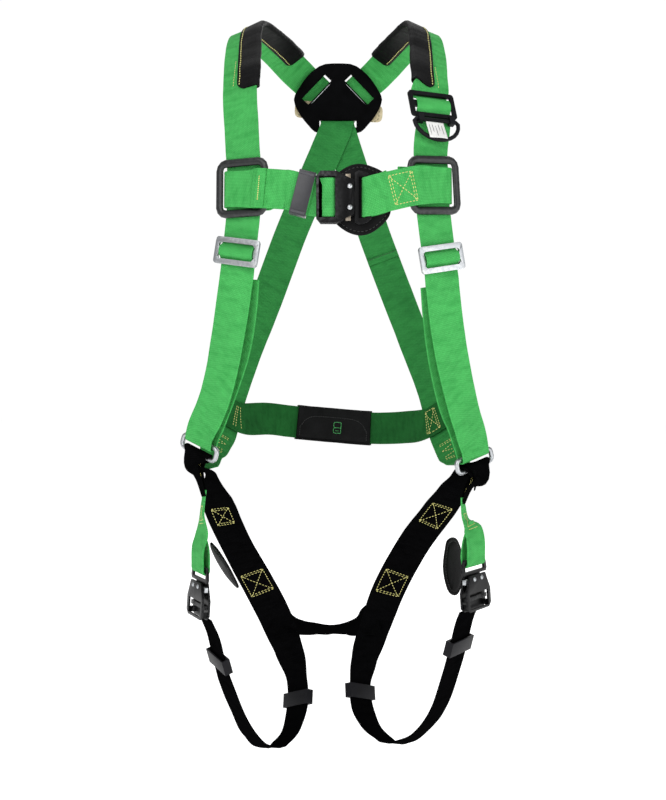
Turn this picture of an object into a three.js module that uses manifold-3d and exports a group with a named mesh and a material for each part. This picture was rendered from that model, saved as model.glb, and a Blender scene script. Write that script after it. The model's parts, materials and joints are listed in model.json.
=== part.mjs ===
// Full-body climbing harness in its worn shape. Millimetres, +Z up, +X to the wearer's left, -Y to the front.
// The origin is the top of the dorsal D-ring's opening, where the harness hangs.
import * as THREE from 'three';
import { mergeVertices } from 'three/addons/utils/BufferGeometryUtils.js';
import Module from 'manifold-3d';

const wasm = await Module();
wasm.setup();

// ---- driving dimensions ----
const WEB = 44.5;                 // webbing width
const WEB_T = 2;                  // webbing thickness
const GAP = 0.4;                  // free gap between neighbouring pieces
const LAYER = WEB_T + GAP;        // pitch of two webbing layers that lie on each other
const PLATE_T = 5;                // dorsal plate
const PLATE_Y = -43;
const D_ROD = 4;                  // dorsal D-ring rod radius
const D_WIDTH = 82;               // between the centres of its arms
const D_HOLD = 47;                // bar centre to the top of the opening
const D_LEAN = THREE.MathUtils.degToRad(46.3);
const RING_ROD = 3.5;             // square chest rings
const RING_SIZE = 66;
const RING_TURN = THREE.MathUtils.degToRad(24.3);
const RING_LIFT = 5.1;            // ring plane in front of the shoulder strap's centre line
const SLIDE_W = 56;               // three-bar slides
const SLIDE_H = 28;
const SLIDE_T = 3.5;
const HIP_ROD = 3;                // hip rings, centre-line sizes
const HIP_W = 58;
const HIP_H = 16;
const KEEPER_L = 19;              // web keepers, along the strap
const WAIST_LIFT = 5.6;           // waist strap's ends in front of the back straps' centre lines

const INK = { green: 0x2fae4c, black: 0x141416, plastic: 0x232427, steel: 0xc9ccd0, dark: 0x2c2e33,
  tan: 0xc9b682, white: 0xf0f0ee };
const FINISH = {
  web_green: [INK.green, 0.85, 0], web_black: [INK.black, 0.85, 0], leather: [INK.black, 0.6, 0],
  plastic: [INK.plastic, 0.5, 0], steel: [INK.steel, 0.3, 1], dark_steel: [INK.dark, 0.45, 0.6],
  tan: [INK.tan, 0.8, 0], label: [INK.white, 0.9, 0],
};

const harness = new THREE.Group();
harness.name = 'harness';

function add(name, geometry, finish) {
  const [color, roughness, metalness] = FINISH[finish];
  const mesh = new THREE.Mesh(geometry, new THREE.MeshStandardMaterial({ color, roughness, metalness }));
  mesh.name = name;
  harness.add(mesh);
  return mesh;
}

// ---- geometry helpers ----
const vec = (x, y, z) => new THREE.Vector3(x, y, z);
const unit = (x, y, z) => vec(x, y, z).normalize();

/** A closed surface from rings of points: each ring is joined to the next, open ends are capped. */
function skin(rings, closed = false) {
  const n = rings[0].length;
  const positions = rings.flat().flatMap((p) => [p.x, p.y, p.z]);
  const index = [];
  const spans = closed ? rings.length : rings.length - 1;
  for (let i = 0; i < spans; i += 1) {
    const j = (i + 1) % rings.length;
    for (let k = 0; k < n; k += 1) {
      const m = (k + 1) % n;
      index.push(i * n + k, j * n + k, j * n + m, i * n + k, j * n + m, i * n + m);
    }
  }
  return { positions, index, n, last: (rings.length - 1) * n };
}

function finishSolid({ positions, index }) {
  const geometry = new THREE.BufferGeometry();
  geometry.setAttribute('position', new THREE.Float32BufferAttribute(positions, 3));
  if (volume(positions, index) < 0) {
    for (let i = 0; i < index.length; i += 3) {
      [index[i], index[i + 1]] = [index[i + 1], index[i]];
    }
  }
  geometry.setIndex(index);
  geometry.computeVertexNormals();
  return geometry;
}

function volume(p, index) {
  let six = 0;
  for (let i = 0; i < index.length; i += 3) {
    const [a, b, c] = [0, 1, 2].map((k) => vec(...p.slice(index[i + k] * 3, index[i + k] * 3 + 3)));
    six += a.dot(b.cross(c));
  }
  return six / 6;
}

/** Centre line and frame along strap rows [x, y, z, wx, wy, wz, width share], row by row. */
class Route {
  constructor(rows) {
    this.rows = rows.map((row, i) => {
      const before = rows.slice(0, i + 1).reverse().find((r) => r.length > 3);
      return { p: vec(...row.slice(0, 3)), w: unit(...before.slice(3, 6)), share: row[6] ?? 1 };
    });
    this.curve = new THREE.CatmullRomCurve3(this.rows.map((r) => r.p), false, 'centripetal');
    this.spans = this.rows.length - 1;
  }

  /** Point p, tangent t, across w and face normal n at row number s (0 to spans). */
  at(s) {
    const u = THREE.MathUtils.clamp(s / this.spans, 0, 1);
    const p = this.curve.getPoint(u);
    const near = 1e-3;
    const ahead = this.curve.getPoint(Math.min(u + near, 1));
    const t = ahead.sub(this.curve.getPoint(Math.max(u - near, 0))).normalize();
    const i = Math.min(Math.floor(s), this.spans - 1);
    const f = THREE.MathUtils.clamp(s - i, 0, 1);
    const blend = f * f * (3 - 2 * f);
    const w = this.rows[i].w.clone().lerp(this.rows[i + 1].w, blend);
    w.addScaledVector(t, -w.dot(t)).normalize();
    const share = THREE.MathUtils.lerp(this.rows[i].share, this.rows[i + 1].share, blend);
    return { p, t, w, n: t.clone().cross(w), share };
  }

  /** The row number between two others where one coordinate comes nearest a value. */
  find(axis, value, from, to) {
    const off = (s) => Math.abs(this.at(s).p[axis] - value);
    const steps = Array.from({ length: 401 }, (_, k) => from + (to - from) * k / 400);
    return steps.reduce((best, s) => (off(s) < off(best) ? s : best));
  }

  /** Row numbers to sample: few where the strap is straight, many where it bends or turns. */
  samples(from, to, step = 16, bend = 5) {
    const fine = Math.ceil((to - from) * 60);
    const picked = [from];
    let last = this.at(from);
    for (let k = 1; k < fine; k += 1) {
      const s = from + (to - from) * k / fine;
      const here = this.at(s);
      const turn = Math.max(here.t.angleTo(last.t), here.w.angleTo(last.w));
      if (turn > THREE.MathUtils.degToRad(bend) || here.p.distanceTo(last.p) > step) {
        picked.push(s);
        last = here;
      }
    }
    const tail = this.at(to).p.distanceTo(last.p);
    if (picked.length > 1 && tail < 1.2) picked.pop();
    return [...picked, to];
  }
}

/** Sweeps a section, a list of [across, normal] points, along a route. */
function sweep(route, section, { from = 0, to = route.spans, step, bend, along } = {}) {
  const stations = along ?? route.samples(from, to, step, bend);
  const rings = stations.map((s) => {
    const { p, w, n, share } = route.at(s);
    return section.map(([a, b]) => p.clone().addScaledVector(w, a * share).addScaledVector(n, b));
  });
  const body = skin(rings);
  const flat = section.map(([a, b]) => new THREE.Vector2(a, b));
  for (const [i, j, k] of THREE.ShapeUtils.triangulateShape(flat, [])) {
    body.index.push(i, j, k);
    body.index.push(body.last + k, body.last + j, body.last + i);
  }
  if (THREE.ShapeUtils.isClockWise(flat)) flipCaps(body, section.length);
  return finishSolid(body);
}

/** The stations of a whole strap that lie between two row numbers, so that a cover bends where the strap bends. */
function within(route, from, to, { step, bend } = {}) {
  return [from, ...route.samples(0, route.spans, step, bend).filter((s) => s > from && s < to), to];
}

/** Rows of a second layer, `lift` off a route's centre line, from one row number to another. */
function layer(route, from, to, lift, count) {
  return Array.from({ length: count }, (_, k) => {
    const { p, w, n } = route.at(from + (to - from) * k / (count - 1));
    return [...p.addScaledVector(n, lift).toArray(), ...w.toArray()];
  });
}

/** Turns the cap triangles round when they disagree with the walls. */
function flipCaps(body, n) {
  const caps = (n - 2) * 6;
  const start = body.index.length - caps;
  for (let i = start; i < body.index.length; i += 3) {
    [body.index[i], body.index[i + 1]] = [body.index[i + 1], body.index[i]];
  }
}

function band(width = WEB, thick = WEB_T, across = 0, lift = 0) {
  const [a, b] = [width / 2, thick / 2];
  return [[across - a, lift - b], [across + a, lift - b], [across + a, lift + b], [across - a, lift + b]];
}

const strap = (rows, options) => sweep(new Route(rows), band(options?.width), options);

/** A closed loop of round rod through points in order, as one ring-shaped solid. */
function rodLoop(points, radius, sides = 8) {
  const n = points.length;
  const middle = points.reduce((sum, p) => sum.add(p), vec(0, 0, 0)).divideScalar(n);
  const normal = points[0].clone().sub(middle).cross(points[Math.floor(n / 4)].clone().sub(middle)).normalize();
  const rings = points.map((p, i) => {
    const t = points[(i + 1) % n].clone().sub(points[(i - 1 + n) % n]).normalize();
    const side = t.clone().cross(normal).normalize();
    return Array.from({ length: sides }, (_, k) => {
      const a = (2 * Math.PI * k) / sides;
      return p.clone().addScaledVector(side, radius * Math.cos(a)).addScaledVector(normal, radius * Math.sin(a));
    });
  });
  return finishSolid(skin(rings, true));
}

/** Centre line of a rounded rectangle in a plane's own x and y. */
function roundedLoop(width, height, corner, steps = 3) {
  const out = [];
  const corners = [[1, 1, 0], [-1, 1, 1], [-1, -1, 2], [1, -1, 3]];
  for (const [sx, sy, quarter] of corners) {
    for (let k = 0; k <= steps; k += 1) {
      const a = (quarter + k / steps) * Math.PI / 2;
      out.push(vec(sx * (width / 2 - corner) + corner * Math.cos(a), sy * (height / 2 - corner) + corner * Math.sin(a), 0));
    }
  }
  return out;
}

/** A place: origin plus right, up and front directions. Pieces are made in it and moved out. */
class Place {
  constructor(origin, right, up) {
    this.o = origin;
    this.x = right.clone().normalize();
    this.z = this.x.clone().cross(up).normalize();
    this.y = this.z.clone().cross(this.x);
    this.matrix = new THREE.Matrix4().makeBasis(this.x, this.y, this.z).setPosition(origin);
  }

  point(x, y, z) {
    return vec(x, y, z).applyMatrix4(this.matrix);
  }

  move(geometry) {
    return geometry.applyMatrix4(this.matrix);
  }
}

const pane = (points) => new THREE.Shape(points.map(([x, y]) => new THREE.Vector2(x, y)));

function boxOutline(x0, y0, x1, y1, corner = 0) {
  const shape = new THREE.Path();
  if (!corner) {
    [[x0, y0], [x1, y0], [x1, y1], [x0, y1]].forEach(([x, y], i) => (i ? shape.lineTo(x, y) : shape.moveTo(x, y)));
    return shape;
  }
  shape.moveTo(x0 + corner, y0);
  shape.lineTo(x1 - corner, y0);
  shape.absarc(x1 - corner, y0 + corner, corner, -Math.PI / 2, 0);
  shape.lineTo(x1, y1 - corner);
  shape.absarc(x1 - corner, y1 - corner, corner, 0, Math.PI / 2);
  shape.lineTo(x0 + corner, y1);
  shape.absarc(x0 + corner, y1 - corner, corner, Math.PI / 2, Math.PI);
  shape.lineTo(x0, y0 + corner);
  shape.absarc(x0 + corner, y0 + corner, corner, Math.PI, 1.5 * Math.PI);
  return shape;
}

/** A flat plate from an outline with holes, from height `low` to `high` of its place. */
function plate(outline, holes, low, high, curveSegments = 4) {
  const shape = outline instanceof THREE.Shape ? outline : new THREE.Shape(outline.getPoints(curveSegments));
  shape.holes.push(...holes);
  const geometry = new THREE.ExtrudeGeometry(shape, { depth: high - low, bevelEnabled: false, curveSegments });
  return geometry.translate(0, 0, low);
}

function toSolid(geometry) {
  const bare = geometry.clone();
  bare.deleteAttribute('normal');
  bare.deleteAttribute('uv');
  const merged = mergeVertices(bare, 1e-4);
  return new wasm.Manifold(new wasm.Mesh({
    numProp: 3,
    vertProperties: new Float32Array(merged.attributes.position.array),
    triVerts: new Uint32Array(merged.index.array),
  }));
}

function fromSolid(solid) {
  const mesh = solid.getMesh();
  const geometry = new THREE.BufferGeometry();
  geometry.setAttribute('position', new THREE.Float32BufferAttribute(mesh.vertProperties, 3));
  geometry.setIndex([...mesh.triVerts]);
  geometry.computeVertexNormals();
  return geometry;
}

function block(x0, y0, z0, x1, y1, z1) {
  return new THREE.BoxGeometry(x1 - x0, y1 - y0, z1 - z0).translate((x0 + x1) / 2, (y0 + y1) / 2, (z0 + z1) / 2);
}

const join = (...pieces) => fromSolid(wasm.Manifold.union(pieces.map(toSolid)));

// ---- dorsal plate, D-ring and the crossing of the shoulder straps ----
const UP = vec(0, 0, 1);
const back = new Place(vec(0, PLATE_Y, -10), vec(1, 0, 0), UP);
const dBar = vec(0, -D_HOLD * Math.sin(D_LEAN), -D_HOLD * Math.cos(D_LEAN));

function slantedSlot(side) {
  const [length, height] = [47, 13];
  const slot = boxOutline(-length / 2, -height / 2, length / 2, height / 2);
  const turn = side * THREE.MathUtils.degToRad(-46);
  const points = slot.getPoints().map((p) => p.rotateAround(new THREE.Vector2(), turn));
  return new THREE.Path(points.map((p) => p.add(new THREE.Vector2(side * 30, 12.5))));
}

function dorsalPlate() {
  const half = [[0, 49], [22, 47], [41, 33], [55, 14], [62, -2], [55, -20], [42, -37], [29, -48], [0, -50]];
  const mirror = half.slice(1, -1).reverse().map(([x, y]) => [-x, y]);
  const ring = [...half, ...mirror, half[0]].map(([x, y]) => new THREE.Vector2(x, y));
  const shape = new THREE.Shape(new THREE.SplineCurve(ring).getPoints(40).slice(0, -1));
  const low = boxOutline(-26, -41, 26, -31);
  add('dorsal_plate', back.move(plate(shape, [slantedSlot(-1), slantedSlot(1), low], -PLATE_T / 2, PLATE_T / 2)), 'plastic');
}

function dorsalRing() {
  const lean = new Place(dBar, vec(1, 0, 0), vec(0, Math.sin(D_LEAN), Math.cos(D_LEAN)));
  const [r, shoulder] = [D_WIDTH / 2, D_HOLD + D_ROD - D_WIDTH / 2];
  const arc = Array.from({ length: 15 }, (_, k) => {
    const a = (Math.PI * k) / 14;
    return [r * Math.cos(a), shoulder + r * Math.sin(a)];
  });
  const outline = [[r - 3, 0], [r, 3], ...arc, [-r, 3], [3 - r, 0]];
  add('dorsal_d_ring', rodLoop(outline.map(([x, y]) => lean.point(x, y, 0)), D_ROD), 'dark_steel');
}

function dorsalBand() {
  const place = new Place(vec(1, -39.3, -27.5), vec(1, 0, -0.06), UP);
  add('dorsal_keeper_band', place.move(plate(boxOutline(-62, -12, 62, 12.5, 6), [], -0.7, 0.7, 4)), 'tan');
}

// ---- green straps ----
/** Rows of a strap that goes behind a frame's upper bar, over its middle bar and behind its lower bar. */
function overBar(place, profile) {
  const down = [...profile].reverse().map(([up, n]) => [-up, n]);
  return [...profile, ...down].map(([up, n]) => place.point(0, up, n).toArray());
}

const LANYARD = new Place(vec(109.5, -303.6, -88.6), vec(0.91, 0.41, 0), vec(0.04, 0.39, 0.92));

const shoulderRows = {
  right: [
    [-4, -25.2, -30.5, 1, 0, 0], [-4, -25, -26.5], [-9, -25.4, -19, 0.85, 0, 0.5], [-24, -29.4, -3, 0.7, 0, 0.7],
    [-38, -37, 9], [-48, -38.7, 18], [-61, -57, 26, 0.78, -0.05, 0.6], [-78, -103, 32, 0.88, -0.1, 0.45],
    [-98, -150, 38, 0.88, -0.3, 0.3], [-115, -193, 38, 0.83, -0.52, 0.18], [-119, -218, 22, 0.88, -0.46, 0.1],
    [-119, -246, -10, 0.91, -0.41, 0], [-118, -270, -36], [-117, -294, -76], [-114, -308, -113], [-112, -315, -144],
    [-110, -318, -170], [-110.4, -318, -210], [-114, -316.4, -245], [-118, -315.4, -281],
  ],
  left: [
    [4, -28.5, -30.5, 1, 0, 0], [4, -28.4, -26.5], [9, -28.9, -19, 0.85, 0, -0.5], [24, -33.6, -3, 0.7, 0, -0.7],
    [38, -38.2, 9], [48, -38.7, 18], [61, -57, 26, 0.78, 0.05, -0.6], [77, -103, 32, 0.88, 0.1, -0.45],
    [94, -150, 38, 0.88, 0.3, -0.3], [106, -193, 38, 0.83, 0.52, -0.18], [110, -218, 22, 0.88, 0.46, -0.1],
    [111, -246, -10, 0.91, 0.41, 0], [110, -270, -36], [109.3, -290, -66],
    ...overBar(LANYARD, [[19, -4.2], [13, -3.8], [10.2, -2.6], [8, 0], [5.8, 2.6], [3.4, 3.6]]),
    [106.5, -314.5, -144], [107, -318.4, -170], [109, -317.6, -210], [114, -315.6, -250], [119, -314, -287],
  ],
};

const backRows = {
  right: [
    [1, -28.6, -35.2, 1, 0, 0], [1, -29.4, -38], [0.5, -33.6, -42.2], [0, -39, -43.2], [-0.5, -47, -43.6],
    [-1, -50.8, -46.6], [-2, -51.8, -52], [-6, -51.4, -62], [-28, -45, -111, 0.93, 0, -0.37], [-64, -41, -194],
    [-102, -48, -298, 0.93, 0.2, -0.3], [-129, -73, -373, 0.9, 0.35, -0.25], [-146, -104, -434, 0.8, 0.55, -0.15],
    [-153, -130, -470, 0.75, 0.62, -0.1], [-160, -165, -495, 0.75, 0.6, 0, 0.85],
    [-164, -192, -509, 0.78, 0.4, 0.1, 0.6], [-165, -206, -514],
  ],
  left: [
    [-1, -25.2, -35.2, 1, 0, 0], [-1, -25.6, -40], [-0.5, -30.6, -45.9], [0, -38, -46.9], [0.3, -44, -47],
    [0.6, -47.1, -49.2], [1.5, -47.9, -54], [4, -47.6, -62], [20, -40, -109, 0.93, 0, 0.37], [54, -37, -208],
    [75, -40, -265, 0.93, -0.1, 0.33], [104, -61, -346, 0.9, -0.3, 0.3], [128, -90, -419, 0.82, -0.5, 0.2],
    [138, -118, -466, 0.76, -0.62, 0.12], [147, -158, -500, 0.74, -0.62, 0, 0.9],
    [153, -190, -517, 0.76, -0.4, -0.2, 0.7], [155, -204, -522],
  ],
};

const hip = {
  right: { bar: vec(-169.5, -238, -485), along: vec(0.76, -0.56, -0.33) },
  left: { bar: vec(165.3, -239, -501), along: vec(0.78, 0.56, 0.28) },
};

const hipPlace = (side) => new Place(hip[side].bar, hip[side].along, UP);

/** A strap's turn round one bar of a hip ring, front layer first; `sign` -1 turns round the lower bar. */
function hipTurn(side, bar, sign) {
  const r = HIP_ROD + GAP + WEB_T / 2 + 0.8;
  const turn = [[12, r + 1], [2, r], [-0.75 * r, 0.75 * r], [-r, 0], [-0.75 * r, -0.75 * r], [2, -r], [12, -r - 1]];
  return turn.map(([up, n]) => [...hipPlace(side).point(0, bar + sign * up, n).toArray(), ...hipPlace(side).x.toArray()]);
}

const frontRows = {
  right: [
    [-118.6, -315, -286, 0.91, -0.41, 0], [-124, -310, -323], [-131, -300, -362, 0.88, -0.46, -0.05],
    [-142, -281, -409, 0.84, -0.5, -0.15], [-155, -262, -445, 0.8, -0.52, -0.25],
    ...hipTurn('right', 0, 1), [-153, -246, -450, 0.8, -0.52, -0.25],
    [-137, -266, -409, 0.84, -0.5, -0.15], [-124, -284, -370, 0.88, -0.46, -0.05], [-115, -300, -323],
    [-113, -306, -292, 0.91, -0.41, 0],
  ],
  left: [
    [119.6, -313.6, -292, 0.91, 0.41, 0], [126, -305, -343], [134, -293, -385, 0.88, 0.46, -0.03],
    [147, -275, -434, 0.84, 0.5, 0.1], [157, -262, -465, 0.8, 0.54, 0.2],
    ...hipTurn('left', 0, 1), [151, -246, -465, 0.8, 0.54, 0.2],
    [138, -262, -434, 0.84, 0.5, 0.1], [126, -280, -385, 0.88, 0.46, -0.03], [119, -294, -343],
    [115, -305, -300, 0.91, 0.41, 0],
  ],
};

/** Rows across the inner face of a back strap at one height, where the end of the waist strap lies on it. */
function waistEnd(side, height, reach) {
  const route = new Route(backRows[side]);
  const { p, t, w, n } = route.at(route.find('z', height, 8, route.spans));
  const rows = reach.map((out) => p.clone().addScaledVector(w, out).addScaledVector(n, WAIST_LIFT));
  return rows.map((row) => [...row.toArray(), ...t.clone().negate().toArray()]);
}


const waistRows = [
  ...waistEnd('right', -452, [-20, 0, 20]), [-95, -70, -460, 0.05, 0.2, 0.98], [-58, -42, -465, 0, 0, 1], [-4, -31, -470], [51, -39, -474],
  [88, -68, -472, -0.05, 0.15, 0.98],
  ...waistEnd('left', -459, [-20, 0, 20]),
];

/** Close stations, for straps that have a sleeve folded round them. */
const FINE = { step: 24, bend: 2.6 };

function greenStraps() {
  for (const side of ['right', 'left']) {
    add(`${side}_shoulder_strap`, strap(shoulderRows[side], FINE), 'web_green');
    add(`${side}_back_strap`, strap(backRows[side]), 'web_green');
    add(`${side}_front_strap`, strap(frontRows[side]), 'web_green');
  }
  add('waist_strap', strap(waistRows), 'web_green');
}

/** Leather folded over the neck-side edge of a shoulder strap. */
function shoulderSleeve(side) {
  const neck = side === 'right' ? 1 : -1;
  const [edge, reach, outer, inner] = [WEB / 2 + GAP, 0, WEB_T / 2 + 2.3, WEB_T / 2 + 0.9];
  const section = [
    [reach, outer], [edge + 1.5, outer], [edge + 1.5, -outer], [reach, -outer],
    [reach, -inner], [edge, -inner], [edge, inner], [reach, inner],
  ].map(([a, b]) => [neck * a, b]);
  if (neck > 0) section.reverse();
  const route = new Route(shoulderRows[side]);
  const from = route.find('x', -neck * 66, 0, 9);
  const to = route.find('z', -56, 9, 14);
  add(`${side}_shoulder_sleeve`, sweep(route, section, { along: within(route, from, to, FINE) }), 'leather');
}

// ---- square chest rings and the chest straps ----
const ringPlace = (side) => {
  const out = side === 'right' ? -1 : 1;
  const strapAt = side === 'right' ? vec(-110.2, -318, -189) : vec(108, -318, -186);
  const tilt = side === 'right' ? 0 : 0.06;
  const right = vec(Math.cos(RING_TURN), out * Math.sin(RING_TURN), tilt);
  const flat = new Place(strapAt, right, UP);
  return new Place(flat.point(0, 0, RING_LIFT), right, UP);
};

function chestRing(side) {
  const place = ringPlace(side);
  const size = RING_SIZE - 2 * RING_ROD;
  const points = roundedLoop(size, size, 8).map((p) => place.point(p.x, p.y, 0));
  add(`${side}_chest_ring`, rodLoop(points, RING_ROD), 'dark_steel');
}

/** The turn of a chest strap through its ring: over the inner bar, round the shoulder strap and back behind. */
function ringTurn(side) {
  const place = ringPlace(side);
  const out = side === 'right' ? -1 : 1;
  const turn = [[-36, 5.6], [-28, 5.4], [-12, 4], [10, 1.6, 0.9], [20, 0, 0.8], [23.9, -2.6, 0.8], [24.2, -6, 0.8],
    [20, -9.2, 0.8], [0, -10.4, 0.9], [-22, -10.4], [-34, -9], [-47, -1]];
  return turn.map(([a, n, share = 1]) => [...place.point(out * a, 0, n).toArray(), 0, 0, 1, share]);
}

const CHEST = new Place(vec(17, -347, -205), vec(1, 0, 0), UP);

const chestRows = {
  right: [
    [-4.5, -349.8, -205, 0, 0, 1], [-8.5, -352.2, -205], [-14, -352.5, -205], [-19.5, -351, -205],
    [-25, -348.8, -204.4], [-42, -348, -200.6], [-58, -346.6, -195.8], [-71, -343.9, -191.4],
    ...ringTurn('right'), [-61, -343, -194.5],
  ],
  left: [
    [64, -342.4, -192.4], [54, -343.6, -196.6], [44, -345.2, -201], [34, -346.2, -204], [28.2, -346.8, -205],
    [26.6, -349.5, -205], [28.2, -352.2, -205], [34, -352.8, -204], [44, -351.4, -201], [56, -348.4, -195.6],
    [69, -344.4, -190.2], ...ringTurn('left').slice(0, -1), [68, -340.6, -190.8],
  ].map((row, i) => (i ? row : [...row, 0, 0, 1])),
};

function chestStraps() {
  add('right_chest_strap', strap(chestRows.right), 'web_green');
  add('left_chest_strap', strap(chestRows.left), 'web_green');
  const tail = layer(new Route(chestRows.right), 4.4, 9.7, -LAYER - 1.5, 15);
  add('right_chest_tail', strap(tail), 'web_green');
}

// ---- quick-connect buckles ----
const BUCKLE = { length: 43, half: 29.5, nose: 23, front: [5.2, 7.7], rear: [-2.7, -0.2], tongue: [1, 4] };

function buckleOutline() {
  const { length, half, nose } = BUCKLE;
  const upper = [[-length, half - 6], [-length + 5, half], [-20, half], [-12, nose + 2], [0, nose - 4]];
  return pane([...upper.map(([x, y]) => [x, -y]), ...upper.reverse()]);
}

const rivetHoles = () => [-12, 12].map((y) => new THREE.Path().absarc(-5, y, 2.2, 0, 2 * Math.PI));

function buckleFront(holes = []) {
  return plate(buckleOutline(), [boxOutline(-40, -23.2, -21.5, 23.2), ...holes], ...BUCKLE.front);
}

/** Rear plate with two corner posts and the web bar. */
function buckleRear(holes, postTop) {
  const posts = [-1, 1].map((s) => {
    const [low, high] = [s * 23.4, s * 26.5].sort((a, b) => a - b);
    return block(-41, low, -1, -34, high, postTop);
  });
  const bar = block(-31, -26, -1, -26, 26, 3.4);
  return join(plate(buckleOutline(), holes, ...BUCKLE.rear), bar, ...posts);
}

function tongue() {
  const half = [[-16, 8], [-14, 9.5], [0.6, 9.5], [0.6, 28], [5, 30.5], [14, 28.5], [19.5, 24]];
  const outline = pane([...half.map(([x, y]) => [x, -y]), ...half.reverse()]);
  return plate(outline, [boxOutline(5, -23.4, 12.6, 23.4)], ...BUCKLE.tongue);
}

const releaseTab = (s) => block(-10, Math.min(s * 17.5, s * 26.5), 0.3, -4, Math.max(s * 17.5, s * 26.5), 4.7);

function rivet(y) {
  const [stem, head, low, top] = [1.8, 3.3, BUCKLE.rear[0] - 0.4, BUCKLE.front[1] + 0.4];
  const profile = [[0, low - 1], [head - 0.6, low - 1], [head - 0.6, low], [stem, low], [stem, top], [head, top],
    [head * 0.8, top + 1.2], [0, top + 1.8]];
  const lathe = new THREE.LatheGeometry(profile.map(([r, z]) => new THREE.Vector2(r, z)), 12);
  return lathe.rotateX(Math.PI / 2).translate(-5, y, 0);
}

function chestBuckle() {
  add('chest_buckle_front_plate', CHEST.move(buckleFront(rivetHoles())), 'dark_steel');
  add('chest_buckle_back_plate', CHEST.move(buckleRear(rivetHoles(), BUCKLE.front[0] - 0.3)), 'dark_steel');
  add('chest_buckle_tongue', CHEST.move(tongue()), 'dark_steel');
  add('chest_buckle_upper_tab', CHEST.move(releaseTab(1)), 'steel');
  add('chest_buckle_lower_tab', CHEST.move(releaseTab(-1)), 'steel');
  add('chest_buckle_upper_rivet', CHEST.move(rivet(12)), 'steel');
  add('chest_buckle_lower_rivet', CHEST.move(rivet(-12)), 'steel');
}

function chestPad() {
  const place = new Place(vec(20, -338, -205), vec(1, 0, 0), UP);
  const ring = [[-36, 8], [-22, 30], [4, 41], [36, 27], [37, 4], [38, -19], [14, -40], [-10, -38], [-32, -18]];
  const curve = new THREE.SplineCurve([...ring, ring[0]].map(([x, y]) => new THREE.Vector2(x, y)));
  add('chest_buckle_pad', place.move(plate(new THREE.Shape(curve.getPoints(28).slice(0, -1)), [], -1.4, 1.4)), 'leather');
}

// ---- slides, lanyard keeper and web keepers ----
function framePlate(w, h, t, corner, slots) {
  return plate(boxOutline(-w / 2, -h / 2, w / 2, h / 2, corner), slots, -t / 2, t / 2, 3);
}

/** The place on a strap at row s, `lift` in front of its centre line, with x across and y along, up. */
function onStrap(rows, s, lift, roll = 0) {
  const { p, t, w } = new Route(rows).at(s);
  const up = t.z > 0 ? t : t.clone().negate();
  const front = w.clone().cross(up).normalize();
  const right = w.clone().applyAxisAngle(front, roll);
  return new Place(p.clone().addScaledVector(front, lift), right, up.applyAxisAngle(front, roll));
}

function slide(side, height, roll) {
  const route = new Route(shoulderRows[side]);
  const s = route.find('z', height, route.spans - 3, route.spans);
  const place = onStrap(shoulderRows[side], s, 5.8, roll);
  const slots = [boxOutline(-24, 2.5, 24, 9.6), boxOutline(-24, -9.6, 24, -2.5)];
  add(`${side}_slide`, place.move(framePlate(SLIDE_W, SLIDE_H, SLIDE_T, 4, slots)), 'steel');
  const profile = [[13, -3.3], [10.2, -3.3], [7.9, -2.6], [6.05, 0], [4.2, 2.6], [2, 3.4]];
  const rows = overBar(place, profile).map((row) => [...row, ...place.x.toArray()]);
  add(`${side}_slide_web`, strap(rows, { step: 12 }), 'web_green');
}

const KEEPER_FRAME = { w: 60, h: 34, t: 3.5, barDrop: -21.5, lift: 1.2 };

function lanyardKeeper() {
  const { w, h, t, barDrop, lift } = KEEPER_FRAME;
  const place = LANYARD;
  const frame = framePlate(w, h, t, 4, [boxOutline(-25, 4, 25, 12), boxOutline(-25, -12, 25, -4)]);
  const lugs = [-1, 1].map((s) => {
    const [x0, x1] = [s * 17, s * 24].sort((a, b) => a - b);
    return block(x0, barDrop - 3.8, lift - 3.8, x1, -h / 2 + 1, lift + 3.8);
  });
  const bore = new THREE.CylinderGeometry(3, 3, 60, 16).rotateZ(Math.PI / 2).translate(0, barDrop, lift);
  const solid = wasm.Manifold.union([frame, ...lugs].map(toSolid)).subtract(toSolid(bore));
  add('lanyard_keeper_frame', place.move(fromSolid(solid)), 'plastic');
  const [r, deep] = [29, 26];
  const arc = Array.from({ length: 13 }, (_, k) => {
    const a = (Math.PI * k) / 12;
    return [r * Math.cos(a), barDrop - 3 - (deep - 3) * Math.sin(a)];
  });
  const loop = [[r - 2.5, barDrop], ...arc, [2.5 - r, barDrop]].map(([x, y]) => place.point(x, y, lift));
  add('lanyard_keeper_ring', rodLoop(loop, 2.5), 'plastic');
  add('lanyard_keeper_tag', place.move(block(-6, -43, 4.2, 12, -27.5, 5.2)), 'label');
}

/** A rectangular web keeper round `layers` of webbing. */
function keeper(name, rows, [axis, value, from, to], layers, rise = 0) {
  const s = new Route(rows).find(axis, value, from, to);
  const place = onStrap(rows, s, rise);
  const [inW, inT, wall] = [WEB + 2.4, layers * LAYER + 3.8, 2.2];
  const [w, t] = [inW / 2, inT / 2];
  const across = new Place(place.o, place.x, place.z.clone().negate());
  const outer = boxOutline(-w - wall, -t - wall, w + wall, t + wall);
  const body = plate(outer, [boxOutline(-w, -t, w, t)], -KEEPER_L / 2, KEEPER_L / 2, 2);
  add(name, across.move(body), 'plastic');
}

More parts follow.
